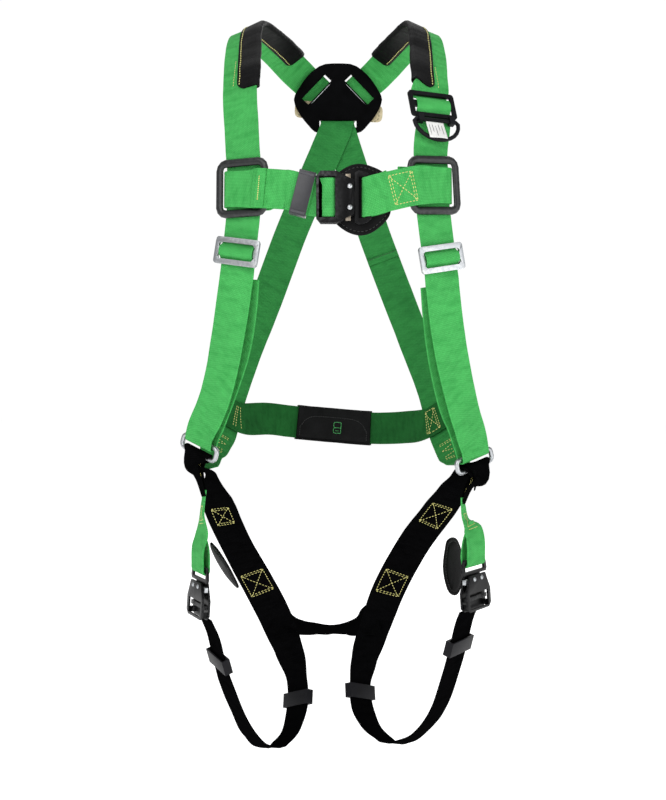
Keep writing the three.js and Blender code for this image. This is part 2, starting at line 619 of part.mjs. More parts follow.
// ---- label pouch ----
function labelPouch() {
  const route = new Route(waistRows);
  const [half, out, inner, wall] = [WEB / 2 + GAP, 5.4, 1.8, 1.6];
  const section = [
    [-half - wall, -out], [-half - wall, inner + wall], [half + wall, inner + wall], [half + wall, -out + 2.2],
    [half, -out + 2.2], [half, inner], [-half, inner], [-half, -1.8], [half - 2, -1.8], [half - 2, -3.2], [-half, -3.2],
    [-half, -out],
  ];
  const [from, to] = [route.find('x', -58, 3, 6), route.find('x', 47, 3, 8)];
  const span = { along: within(route, from, to) };
  add('label_pouch', sweep(route, section.map(([a, b]) => [a, -b]), span), 'leather');
  add('label_flap', sweep(route, band(WEB - 1, 1.4, 1.5, 4.6).map(([a, b]) => [a, b]), span), 'leather');
}

// ---- hip rings, black loops, leg straps, seat strap ----
/** The two legs of each black hip loop below its ring; they narrow to a sewn tip. */
const hipLoopLegs = {
  right: [
    [[-165.8, -247, -549, 0.5, -0.85, 0, 0.28], [-171.5, -247, -530, 0.62, -0.72, -0.2, 0.6]],
    [[-169.5, -236.5, -530, 0.62, -0.72, -0.2, 0.6], [-163.8, -243.4, -549, 0.5, -0.85, 0, 0.28]],
  ],
  left: [
    [[153, -249, -558, 0.45, 0.88, 0, 0.28], [160.5, -249, -541, 0.62, 0.72, 0.2, 0.55]],
    [[158, -238.5, -541, 0.62, 0.72, 0.2, 0.55], [151, -245.6, -558, 0.45, 0.88, 0, 0.28]],
  ],
};

function hipRing(side) {
  const place = hipPlace(side);
  const points = roundedLoop(HIP_W, HIP_H, 5).map((p) => place.point(p.x, p.y - HIP_H / 2, 0));
  add(`${side}_hip_ring`, rodLoop(points, HIP_ROD), 'steel');
  const [rise, fall] = hipLoopLegs[side];
  add(`${side}_hip_loop`, strap([...rise, ...hipTurn(side, -HIP_H, -1), ...fall]), 'web_black');
}

const legRows = {
  right: [
    [-160, -211, -527, 0.76, -0.45, 0.1, 0.55], [-158, -200, -545, 0.76, -0.42, 0.3, 0.85],
    [-151, -182, -575, 0.76, -0.4, 0.43], [-135, -158, -618],
    [-107, -128, -678, 0.85, -0.2, 0.45], [-94, -113, -706, 0.88, -0.1, 0.45], [-79, -97, -743, 0.88, -0.15, 0.42],
    [-66, -92, -778, 0.78, -0.4, 0.35], [-56, -96, -815, 0.6, -0.7, 0.2], [-55, -108, -845],
    [-63, -133, -872, 0.55, -0.75, 0.3], [-78, -158, -884, 0.6, -0.7, 0.3],
  ],
  left: [
    [163, -226, -512, 0.78, 0.56, 0.28], [157, -218, -526, 0.78, 0.55, 0.1], [145, -204, -548, 0.74, 0.5, -0.3],
    [127, -181, -578, 0.72, 0.4, -0.5], [102, -158, -616, 0.78, 0.3, -0.5],
    [70, -128, -680, 0.84, 0.2, -0.45], [56, -108, -721, 0.84, 0.25, -0.38], [43, -96, -762, 0.84, 0.35, -0.3],
    [35, -92, -792, 0.75, 0.55, -0.2], [30, -98, -821, 0.62, 0.75, -0.1], [33, -112, -848],
    [44, -132, -868, 0.6, 0.75, -0.25], [64, -154, -880, 0.6, 0.7, -0.3],
  ],
};

const loopRows = {
  right: [
    [-81, -161, -884.4, 0.6, -0.7, 0.3], [-93, -172.5, -881, 0.7, -0.64, 0.15], [-109, -188, -865, 0.62, -0.75, 0],
    [-125, -208, -830, 0.5, -0.85, 0], [-137, -224, -794], [-147, -237, -755, 0.44, -0.9, 0], [-154, -245, -722],
    [-163, -250, -699, 0.42, -0.9, 0],
  ],
  left: [
    [67.5, -157.5, -880.4, 0.6, 0.7, -0.3], [83, -172, -875, 0.68, 0.66, -0.15], [108, -194, -852, 0.62, 0.78, 0],
    [126, -214, -818, 0.58, 0.81, 0], [140, -232, -767], [148, -241, -732], [154, -246, -704],
    [158.5, -249.5, -690, 0.58, 0.81, 0],
  ],
};

const seatRows = [
  [-55, -84, -744, 0.15, 0.95, 0.2], [-36, -74, -748, 0.1, 0.98, 0.1], [-7, -65, -752, 0, 1, 0.05],
  [18, -72, -746, -0.1, 0.98, 0.1], [31, -84, -736, -0.2, 0.94, 0.2],
];

function legStraps() {
  for (const side of ['right', 'left']) {
    add(`${side}_leg_strap`, strap(legRows[side]), 'web_black');
    add(`${side}_leg_loop`, strap(loopRows[side]), 'web_black');
  }
  add('seat_strap', strap(seatRows), 'web_black');
}

// ---- leg buckles with their green straps and leather pads ----
const legBuckle = {
  right: new Place(vec(-167, -251, -655), vec(0.06, 0.02, 1), vec(-0.42, 0.9, 0)),
  left: new Place(vec(163, -251, -646), vec(-0.06, 0.02, 1), vec(-0.58, -0.81, 0)),
};

function legBuckleParts(side) {
  const place = legBuckle[side];
  const body = join(buckleFront(), buckleRear([], BUCKLE.front[0] + 1));
  add(`${side}_leg_buckle_body`, place.move(body), 'dark_steel');
  add(`${side}_leg_buckle_tongue`, place.move(tongue()), 'dark_steel');
  add(`${side}_leg_buckle_rear_tab`, place.move(releaseTab(1)), 'steel');
  add(`${side}_leg_buckle_front_tab`, place.move(releaseTab(-1)), 'steel');
}

/** The green strap above a leg buckle: from the hip loop down, round the tongue's bar and back up. */
function buckleStrap(side, top) {
  const place = legBuckle[side];
  const across = place.y.clone().negate();
  const turn = [[56, 4], [40, 7.5], [22, 6.6], [12.4, 5.6], [10.4, 2.5], [12.4, -0.6], [22, -1.8], [40, -2.5], [56, 0.6]];
  const rows = turn.map(([x, n]) => [...place.point(x, 0, n).toArray(), ...across.toArray()]);
  add(`${side}_buckle_strap`, strap([...top, ...rows]), 'web_green');
}

/** Leather pad that hangs between a leg buckle and the thigh: x up it, y across it. */
function legPad(side, place, ring) {
  const curve = new THREE.SplineCurve([...ring, ring[0]].map(([x, y]) => new THREE.Vector2(x, y)));
  const shape = new THREE.Shape(curve.getPoints(26).slice(0, -1));
  add(`${side}_leg_pad`, place.move(plate(shape, [], -1.4, 1.4)), 'leather');
}

// ---- assembly ----
dorsalPlate();
dorsalRing();
dorsalBand();
greenStraps();
shoulderSleeve('right');
shoulderSleeve('left');
chestRing('right');
chestRing('left');
chestStraps();
chestBuckle();
chestPad();
slide('right', -263, THREE.MathUtils.degToRad(-3));
slide('left', -270, THREE.MathUtils.degToRad(2));
lanyardKeeper();
keeper('chest_strap_keeper', chestRows.right, ['x', -41.2, 4, 8], 2, LAYER / 2 + 0.2);
labelPouch();
hipRing('right');
hipRing('left');
legStraps();
legBuckleParts('right');
legBuckleParts('left');
buckleStrap('right', [[-165, -246, -553, 0.35, -0.93, 0, 0.35], [-167, -248, -572, 0.25, -0.96, 0, 0.7]]);
buckleStrap('left', [[152, -248, -562, 0.35, 0.93, 0, 0.35], [155, -249, -580, 0.3, 0.95, 0, 0.7]]);
legPad('right', new Place(vec(-141, -251, -634), vec(-0.5, 0.05, 0.86), vec(-0.42, 0.91, 0)),
  [[31, 0], [24, 12], [6, 19], [-14, 15], [-31, 0], [-34, -9], [-24, -14], [-4, -17], [18, -12]]);
legPad('left', new Place(vec(141, -238, -639), vec(-0.06, 0.02, 1), vec(-0.58, -0.81, 0)),
  [[33, 12], [36, 0], [31, -14], [10, -24], [-14, -24], [-33, -10], [-35, 4], [-24, 18], [4, 24]]);
keeper('right_rear_leg_keeper', legRows.right, ['z', -838, 6, 10], 1);
keeper('right_front_leg_keeper', loopRows.right, ['z', -755, 3, 6], 1);
keeper('left_rear_leg_keeper', legRows.left, ['z', -829, 6, 10], 1);
keeper('left_front_leg_keeper', loopRows.left, ['z', -735, 3, 6], 1);

export default harness;
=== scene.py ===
"""Full-body tree-climbing harness: webbing, stitching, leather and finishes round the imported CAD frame.

Metres, +Z up, +X to the wearer's left, -Y to the front. The origin is the top of the dorsal ring's opening.
"""
import itertools
import json
import math

import bmesh
import bpy
import numpy as np
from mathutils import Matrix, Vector, noise

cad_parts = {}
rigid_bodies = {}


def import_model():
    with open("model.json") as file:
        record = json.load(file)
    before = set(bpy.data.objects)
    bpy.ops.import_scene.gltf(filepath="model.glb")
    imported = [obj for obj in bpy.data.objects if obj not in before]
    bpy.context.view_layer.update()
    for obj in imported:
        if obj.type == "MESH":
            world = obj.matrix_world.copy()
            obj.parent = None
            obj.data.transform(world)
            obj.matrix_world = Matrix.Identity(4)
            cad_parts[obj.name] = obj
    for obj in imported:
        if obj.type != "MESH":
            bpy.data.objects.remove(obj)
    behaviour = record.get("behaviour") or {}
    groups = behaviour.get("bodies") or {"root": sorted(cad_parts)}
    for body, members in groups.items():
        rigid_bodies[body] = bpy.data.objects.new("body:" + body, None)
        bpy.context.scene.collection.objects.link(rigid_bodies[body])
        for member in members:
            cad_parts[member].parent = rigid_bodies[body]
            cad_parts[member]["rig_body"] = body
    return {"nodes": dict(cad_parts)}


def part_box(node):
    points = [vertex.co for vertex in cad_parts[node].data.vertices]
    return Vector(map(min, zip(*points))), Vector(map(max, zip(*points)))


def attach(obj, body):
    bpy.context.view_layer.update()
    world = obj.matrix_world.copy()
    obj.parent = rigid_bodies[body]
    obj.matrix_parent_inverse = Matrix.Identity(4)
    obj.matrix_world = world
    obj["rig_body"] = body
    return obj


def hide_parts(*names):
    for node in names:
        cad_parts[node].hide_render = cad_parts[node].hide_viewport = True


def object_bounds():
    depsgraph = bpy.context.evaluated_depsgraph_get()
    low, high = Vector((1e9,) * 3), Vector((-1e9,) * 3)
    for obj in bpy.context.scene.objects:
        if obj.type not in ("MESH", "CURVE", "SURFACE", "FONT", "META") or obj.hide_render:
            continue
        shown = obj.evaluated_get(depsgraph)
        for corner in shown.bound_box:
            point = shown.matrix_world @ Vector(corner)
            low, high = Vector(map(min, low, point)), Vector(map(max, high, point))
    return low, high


MM = 0.001
WEB = 44.5 * MM            # webbing width
HALF = WEB / 2
WEB_T = 2.0 * MM           # webbing thickness
STATION = 2.4 * MM         # spacing of the webbing's cross-sections
THREAD = 0.46 * MM         # sewing thread radius
STITCH = 4.2 * MM          # one stitch and the gap after it
FREE_END = 24 * MM         # the longest loose end that follows the strap it belongs to
ROOT = "webbing"           # the body that all sewn pieces belong to
SIDES = ("right", "left")
X, Y, Z = range(3)

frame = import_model()
NODES = frame["nodes"]
CAD_BOX = [list(corner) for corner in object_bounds()]


# ---------------------------------------------------------------- materials
def shader(name, **values):
    """A new material and its Principled shader, with constants set on the shader's own sockets."""
    material = bpy.data.materials.new(name)
    material.use_nodes = True
    surface = material.node_tree.nodes["Principled BSDF"]
    for socket, value in values.items():
        surface.inputs[socket.replace("_", " ")].default_value = value
    return material, surface


def grey(level):
    return (level, level, level)


class Graph:
    """Short names for making and joining shader nodes."""

    def __init__(self, material):
        self.tree = material.node_tree

    def node(self, kind, **settings):
        made = self.tree.nodes.new("ShaderNode" + kind)
        for key, value in settings.items():
            if hasattr(made, key):
                setattr(made, key, value)
            else:
                made.inputs[key.replace("_", " ")].default_value = value
        return made

    def join(self, source, target):
        self.tree.links.new(source, target)

    def math(self, operation, a, b=None):
        made = self.node("Math", operation=operation)
        for k, value in enumerate((a, b)):
            if value is None:
                continue
            if isinstance(value, (int, float)):
                made.inputs[k].default_value = value
            else:
                self.join(value, made.inputs[k])
        return made.outputs[0]

    def ramp(self, source, stops):
        made = self.node("ValToRGB")
        ramp = made.color_ramp
        while len(ramp.elements) < len(stops):
            ramp.elements.new(0.5)
        for element, (place, colour) in zip(ramp.elements, stops):
            element.position = place
            element.color = (*colour, 1)
        self.join(source, made.inputs[0])
        return made.outputs[0]

    def noise(self, scale, detail=3, where=None):
        made = self.node("TexNoise", Scale=scale, Detail=detail)
        self.join(where or self.place(), made.inputs["Vector"])
        return made.outputs["Fac"]

    def place(self):
        return self.node("TexCoord").outputs["Object"]

    def stretched(self, source, scale):
        made = self.node("Mapping", Scale=scale)
        self.join(source, made.inputs["Vector"])
        return made.outputs[0]

    def edges(self, full):
        """Rises from 0 on a flat face to 1 on an edge this sharp."""
        return self.ramp(self.node("NewGeometry").outputs["Pointiness"], [(0.53, grey(0)), (full, grey(1))])

    def roughen(self, surface, pattern, low, high):
        made = self.node("MapRange", To_Min=low, To_Max=high)
        self.join(pattern, made.inputs["Value"])
        self.join(made.outputs[0], surface.inputs["Roughness"])

    def bump(self, height, surface, strength, distance):
        made = self.node("Bump", Strength=strength, Distance=distance)
        self.join(height, made.inputs["Height"])
        self.join(made.outputs[0], surface.inputs["Normal"])

    def mix(self, share, a, b):
        made = self.node("Mix", data_type="RGBA")
        self.join(share, made.inputs["Factor"])
        for socket, value in ((made.inputs[6], a), (made.inputs[7], b)):
            if isinstance(value, tuple):
                socket.default_value = (*value, 1)
            else:
                self.join(value, socket)
        return made.outputs[2]


def webbing_material(name, deep, lit, wear_and_highlight, rough, gloss, sheen):
    """Woven polyester webbing: warp ribs along the strap, a twill step across them, a wandering colour, rib
    crests painted lighter (partly wear, partly painted highlight) and soft patches of painted crease shade.
    """
    material, surface = shader(name, Roughness=rough, Specular_IOR_Level=gloss, Sheen_Weight=sheen,
                               Sheen_Roughness=0.45, Sheen_Tint=(*wear_and_highlight, 1))
    g = Graph(material)
    weave = g.node("UVMap", uv_map="Weave").outputs[0]
    uv = g.node("SeparateXYZ")
    g.join(weave, uv.inputs[0])
    drawn_out = g.stretched(weave, (0.8, 2.6, 1))         # patches longer across the web than along it
    creases = g.math("MULTIPLY", g.noise(1.0, 3, drawn_out), 6)
    across = g.math("MULTIPLY", uv.outputs["X"], 26)      # warp ribs over the width
    along = g.math("MULTIPLY", uv.outputs["Y"], 17)       # weft steps per width of length
    column = g.math("FLOOR", across)
    rib = g.math("SINE", g.math("MULTIPLY", g.math("FRACT", across), math.pi))
    step = g.math("FRACT", g.math("ADD", along, g.math("MULTIPLY", column, 0.34)))
    float_over = g.math("POWER", g.math("SINE", g.math("MULTIPLY", step, math.pi)), 0.6)
    twill = g.math("ADD", g.math("MULTIPLY", float_over, 0.7), 0.3)
    height = g.math("MULTIPLY", g.math("POWER", rib, 0.7), twill)
    fibres = g.math("MULTIPLY", g.noise(1600, 2), 0.5)
    g.bump(g.math("ADD", creases, g.math("ADD", height, fibres)), surface, 0.85, 0.45 * MM)
    tone = g.math("ADD", g.math("MULTIPLY", g.noise(22, 4), 0.55), g.math("MULTIPLY", g.noise(140, 3), 0.45))
    cloth_colour = g.ramp(tone, [(0.32, deep), (0.66, lit)])
    # painted highlight, partly wear: the rib crests take the lighter colour, so the grooves between them look
    # shaded
    crest_highlight = g.math("MULTIPLY", height, 0.58)
    # painted shade: soft crease patches, longer across the web, darkened up to halfway toward the deep colour
    shaded = g.ramp(g.noise(2.3, 4, drawn_out), [(0.46, grey(0)), (0.72, grey(0.5))])
    g.join(g.mix(shaded, g.mix(crest_highlight, cloth_colour, wear_and_highlight), deep), surface.inputs["Base Color"])
    return material


def leather_material(name, deep, lit, grain=430, rough=0.5, gloss=0.10):
    """Grained leather with soft creases; a finer, rougher grain makes suede or close cloth."""
    material, surface = shader(name, Specular_IOR_Level=gloss)
    g = Graph(material)
    cells = g.node("TexVoronoi", Scale=grain, feature="DISTANCE_TO_EDGE")
    g.join(g.place(), cells.inputs["Vector"])
    grains = g.math("MINIMUM", cells.outputs["Distance"], 0.25)
    creases = g.math("MULTIPLY", g.noise(95, 5), 0.8)
    g.bump(g.math("ADD", grains, creases), surface, 0.5, 0.5 * MM)
    g.join(g.ramp(g.noise(60, 4), [(0.35, deep), (0.72, lit)]), surface.inputs["Base Color"])
    g.roughen(surface, g.noise(40, 3), rough - 0.08, rough + 0.16)
    return material


def metal_material(name, body, edge, metallic, rough, coat=0.0, brushed=(1, 1, 1), gloss=0.5):
    """Plated or coated steel with brighter edges, partly wear and partly a painted highlight, and a fine cast
    texture.
    """
    material, surface = shader(name, Metallic=metallic, Coat_Weight=coat, Coat_Roughness=0.25,
                               Specular_IOR_Level=gloss)
    g = Graph(material)
    grain = g.noise(520, 4, g.stretched(g.place(), brushed))
    patches = g.ramp(g.noise(260, 4), [(0.4, grey(0.05)), (0.7, grey(0.6))])
    # painted highlight, partly wear: sharp edges in scuffed patches take the lighter edge colour
    scuffs_and_highlights = g.math("MULTIPLY", g.edges(0.64), patches)
    g.join(g.mix(scuffs_and_highlights, body, edge), surface.inputs["Base Color"])
    g.roughen(surface, grain, rough - 0.07, rough + 0.12)
    g.bump(grain, surface, 0.12, 0.2 * MM)
    return material


def plastic_material(name, deep, lit, rough=0.42, gloss=0.12):
    """Moulded plastic with a fine sparkle and edges a little lighter, partly wear and partly a painted
    highlight.
    """
    material, surface = shader(name, Specular_IOR_Level=gloss)
    g = Graph(material)
    sparkle = g.noise(900, 3)
    # painted highlight, partly wear: lighter towards sharp edges
    wear_and_highlight = g.math("MULTIPLY", g.edges(0.66), 0.5)
    edge_wear_and_highlight_colour = tuple(2.5 * c for c in lit)
    colour = g.ramp(g.noise(70, 3), [(0.3, deep), (0.75, lit)])
    g.join(g.mix(wear_and_highlight, colour, edge_wear_and_highlight_colour), surface.inputs["Base Color"])
    g.roughen(surface, sparkle, rough - 0.06, rough + 0.12)
    g.bump(sparkle, surface, 0.25, 0.12 * MM)
    return material


def thread_material(name, deep, lit):
    """Twisted sewing thread."""
    material, surface = shader(name, Roughness=0.55, Sheen_Weight=0.2)
    g = Graph(material)
    twist = g.node("TexWave", Scale=700, Distortion=1.5, bands_direction="DIAGONAL")
    g.join(g.place(), twist.inputs["Vector"])
    g.join(g.ramp(twist.outputs["Fac"], [(0.1, deep), (0.7, lit)]), surface.inputs["Base Color"])
    g.bump(twist.outputs["Fac"], surface, 0.4, 0.15 * MM)
    return material


MATERIAL = {
    "green": webbing_material("GreenWebbing", (0.022, 0.25, 0.046), (0.046, 0.40, 0.080), (0.13, 0.60, 0.17),
                              rough=0.7, gloss=0.08, sheen=0.08),
    # painted shade: a darker copy of the green for the shoulder straps' run down the back, where less light
    # falls
    "back_shade_green": webbing_material("ShadedBackWebbing", (0.014, 0.135, 0.028), (0.026, 0.22, 0.044),
                                   (0.06, 0.34, 0.09), rough=0.7, gloss=0.06, sheen=0.05),
    # painted shade: a still darker copy of the green for the waist strap, where less light falls
    "waist_shade_green": webbing_material("ShadedWaistWebbing", (0.005, 0.055, 0.011), (0.011, 0.105, 0.020),
                                    (0.03, 0.18, 0.045), rough=0.7, gloss=0.05, sheen=0.03),
    "black": webbing_material("BlackWebbing", (0.0007, 0.0007, 0.0008), (0.0018, 0.0018, 0.0020),
                              (0.0055, 0.0055, 0.006), rough=0.75, gloss=0.0, sheen=0.0),
    "leather": leather_material("BlackLeather", (0.0018, 0.0018, 0.002), (0.0055, 0.0055, 0.006)),
    "suede": leather_material("TanSuede", (0.46, 0.37, 0.22), (0.68, 0.58, 0.40), grain=700, rough=0.86,
                              gloss=0.2),
    "zinc": metal_material("ZincPlate", (0.42, 0.44, 0.46), grey(0.85), 1.0, 0.30, brushed=(1, 1, 9)),
    "dark": metal_material("CoatedSteel", (0.012, 0.013, 0.014), (0.14, 0.14, 0.145), 0.3, 0.34, coat=0.15),
    "gun": metal_material("BlackSteel", (0.0022, 0.0022, 0.0026), (0.17, 0.17, 0.18), 0.0, 0.30, gloss=0.14),
    "bronze": metal_material("BronzeTab", (0.26, 0.22, 0.17), (0.6, 0.55, 0.48), 1.0, 0.35),
    "plastic": plastic_material("MouldedPlastic", (0.0012, 0.0012, 0.0014), (0.0025, 0.0025, 0.003),
                                gloss=0.02),
    "slate": plastic_material("SlatePlastic", (0.005, 0.005, 0.006), (0.010, 0.010, 0.012), gloss=0.10),
    "grey": plastic_material("GreyPlastic", (0.014, 0.014, 0.017), (0.026, 0.026, 0.031), rough=0.3,
                             gloss=0.5),
    "thread": thread_material("YellowThread", (0.55, 0.50, 0.12), (0.86, 0.80, 0.30)),
    "dark_thread": thread_material("DarkThread", grey(0.010), grey(0.028)),
    "label": leather_material("LabelCloth", (0.72, 0.72, 0.70), (0.86, 0.86, 0.84), grain=900, rough=0.8),
    "mark": thread_material("GreenMark", (0.05, 0.42, 0.10), (0.09, 0.66, 0.17)),
}


# ---------------------------------------------------------------- meshes
def dressed(name, mesh, finish, body):
    """An object of this mesh, in its finish, that rides on a body."""
    mesh.materials.append(MATERIAL[finish])
    made = bpy.data.objects.new(name, mesh)
    bpy.context.scene.collection.objects.link(made)
    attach(made, body)
    return made


def piece(name, verts, faces, finish, body=ROOT, uvs=None, smooth=True):
    """A closed mesh in its finish, faces outward, riding on a body. uvs is one (u, v) per vertex."""
    mesh = bpy.data.meshes.new(name)
    mesh.from_pydata([tuple(v) for v in verts], [], faces)
    mesh.validate()
    if uvs is not None:
        layer = mesh.uv_layers.new(name="Weave")
        order = np.empty(len(mesh.loops), dtype=np.int32)
        mesh.loops.foreach_get("vertex_index", order)
        layer.data.foreach_set("uv", np.asarray(uvs, dtype=np.float32)[order].ravel())
    mesh.polygons.foreach_set("use_smooth", [smooth] * len(mesh.polygons))
    bm = bmesh.new()
    bm.from_mesh(mesh)
    bmesh.ops.recalc_face_normals(bm, faces=bm.faces)
    bm.to_mesh(mesh)
    bm.free()
    return dressed(name, mesh, finish, body)


def reshaped(name, bm, node, finish, crease):
    """The object that takes a CAD node's place, smooth but for the edges sharper than `crease` degrees."""
    mesh = bpy.data.meshes.new(name)
    bm.to_mesh(mesh)
    bm.free()
    mesh.polygons.foreach_set("use_smooth", [True] * len(mesh.polygons))
    mesh.set_sharp_from_angle(angle=math.radians(crease))
    made = dressed(name, mesh, finish, NODES[node]["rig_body"])
    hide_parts(node)


def bands(rows, count, base=0):
    """The faces between rows of `count` points that go round, the first row starting at vertex `base`."""
    return [(base + r * count + k, base + r * count + (k + 1) % count,
             base + (r + 1) * count + (k + 1) % count, base + (r + 1) * count + k)
            for r in range(rows - 1) for k in range(count)]


def fan(base, count, tip):
    """The triangles from a row of points that goes round to one point more."""
    return [(base + k, base + (k + 1) % count, tip) for k in range(count)]


def bevel(bm, edges, offset, segments, profile=0.6):
    bmesh.ops.bevel(bm, geom=edges, offset=offset, segments=segments, profile=profile, affect="EDGES",
                    clamp_overlap=True)


def sharp_edges(bm):
    """A CAD solid's own edges, once its flat faces have been joined up."""
    bmesh.ops.dissolve_limit(bm, angle_limit=0.01, verts=bm.verts, edges=bm.edges)
    return [e for e in bm.edges if len(e.link_faces) == 2 and e.calc_face_angle(0) > 0.6]


def split_faces(bm):
    bmesh.ops.triangulate(bm, faces=[f for f in bm.faces if len(f.verts) > 4])


def points(node):
    return np.array([v.co[:] for v in NODES[node].data.vertices])


# ---------------------------------------------------------------- straps read from the CAD ribbons
def welded(node):
    bm = bmesh.new()
    bm.from_mesh(NODES[node].data)
    bmesh.ops.remove_doubles(bm, verts=bm.verts, dist=2e-6)
    return bm


def end_cap(bm):
    """The four corners, in order, of a ribbon's end: two coplanar triangles with a sharp edge all round."""
    for edge in bm.edges:
        if len(edge.link_faces) != 2 or edge.calc_face_angle(9) > 0.02:
            continue
        f, g = edge.link_faces
        rim = [e for face in (f, g) for e in face.edges if e != edge]
        thin = sum(e.calc_length() < 1.2 * WEB_T for e in rim)
        if thin == 2 and all(e.calc_face_angle(0) > 1.0 for e in rim):
            c = next(v for v in f.verts if v not in edge.verts)
            d = next(v for v in g.verts if v not in edge.verts)
            return [edge.verts[0], c, edge.verts[1], d]
    raise ValueError("no end cap")


def ribbon(node):
    """Centres, across and normal directions and widths of a CAD ribbon, ring by ring."""
    bm = welded(node)
    ring = end_cap(bm)
    seen = set(ring)
    rings = [ring]
    while True:
        following = list({e.other_vert(v) for v in ring for e in v.link_edges} - seen)
        if len(following) != 4:
            break
        seen.update(following)
        middle = sum((v.co for v in ring), Vector()) / 4
        next_middle = sum((v.co for v in following), Vector()) / 4

        def likeness(order):
            return sum((a.co - middle).dot(b.co - next_middle) for a, b in zip(ring, order))
        ring = max(itertools.permutations(following), key=likeness)
        rings.append(ring)
    corners = np.array([[v.co[:] for v in r] for r in rings])
    bm.free()
    if np.linalg.norm(corners[0, 1] - corners[0, 0]) < np.linalg.norm(corners[0, 2] - corners[0, 1]):
        corners = np.roll(corners, -1, axis=1)
    across = (corners[:, 1] - corners[:, 0] + corners[:, 2] - corners[:, 3]) / 2
    normal = (corners[:, 3] - corners[:, 0] + corners[:, 2] - corners[:, 1]) / 2
    width = np.linalg.norm(across, axis=1)
    return corners.mean(axis=1), across / width[:, None], unit(normal), width


def unit(v):
    return v / np.linalg.norm(v, axis=-1, keepdims=True)


def ease(knots, values, at):
    """Smooth values through the knots (Hermite with averaged slopes)."""
    slope = np.gradient(values, knots, axis=0)
    i = np.clip(np.searchsorted(knots, at, side="right") - 1, 0, len(knots) - 2)
    h = (knots[i + 1] - knots[i])[:, None]
    t = ((at - knots[i]) / h[:, 0])[:, None]
    a, b, ma, mb = values[i], values[i + 1], slope[i] * h, slope[i + 1] * h
    first = (2 * t**3 - 3 * t**2 + 1) * a + (t**3 - 2 * t**2 + t) * ma
    return first + (3 * t**2 - 2 * t**3) * b + (t**3 - t**2) * mb


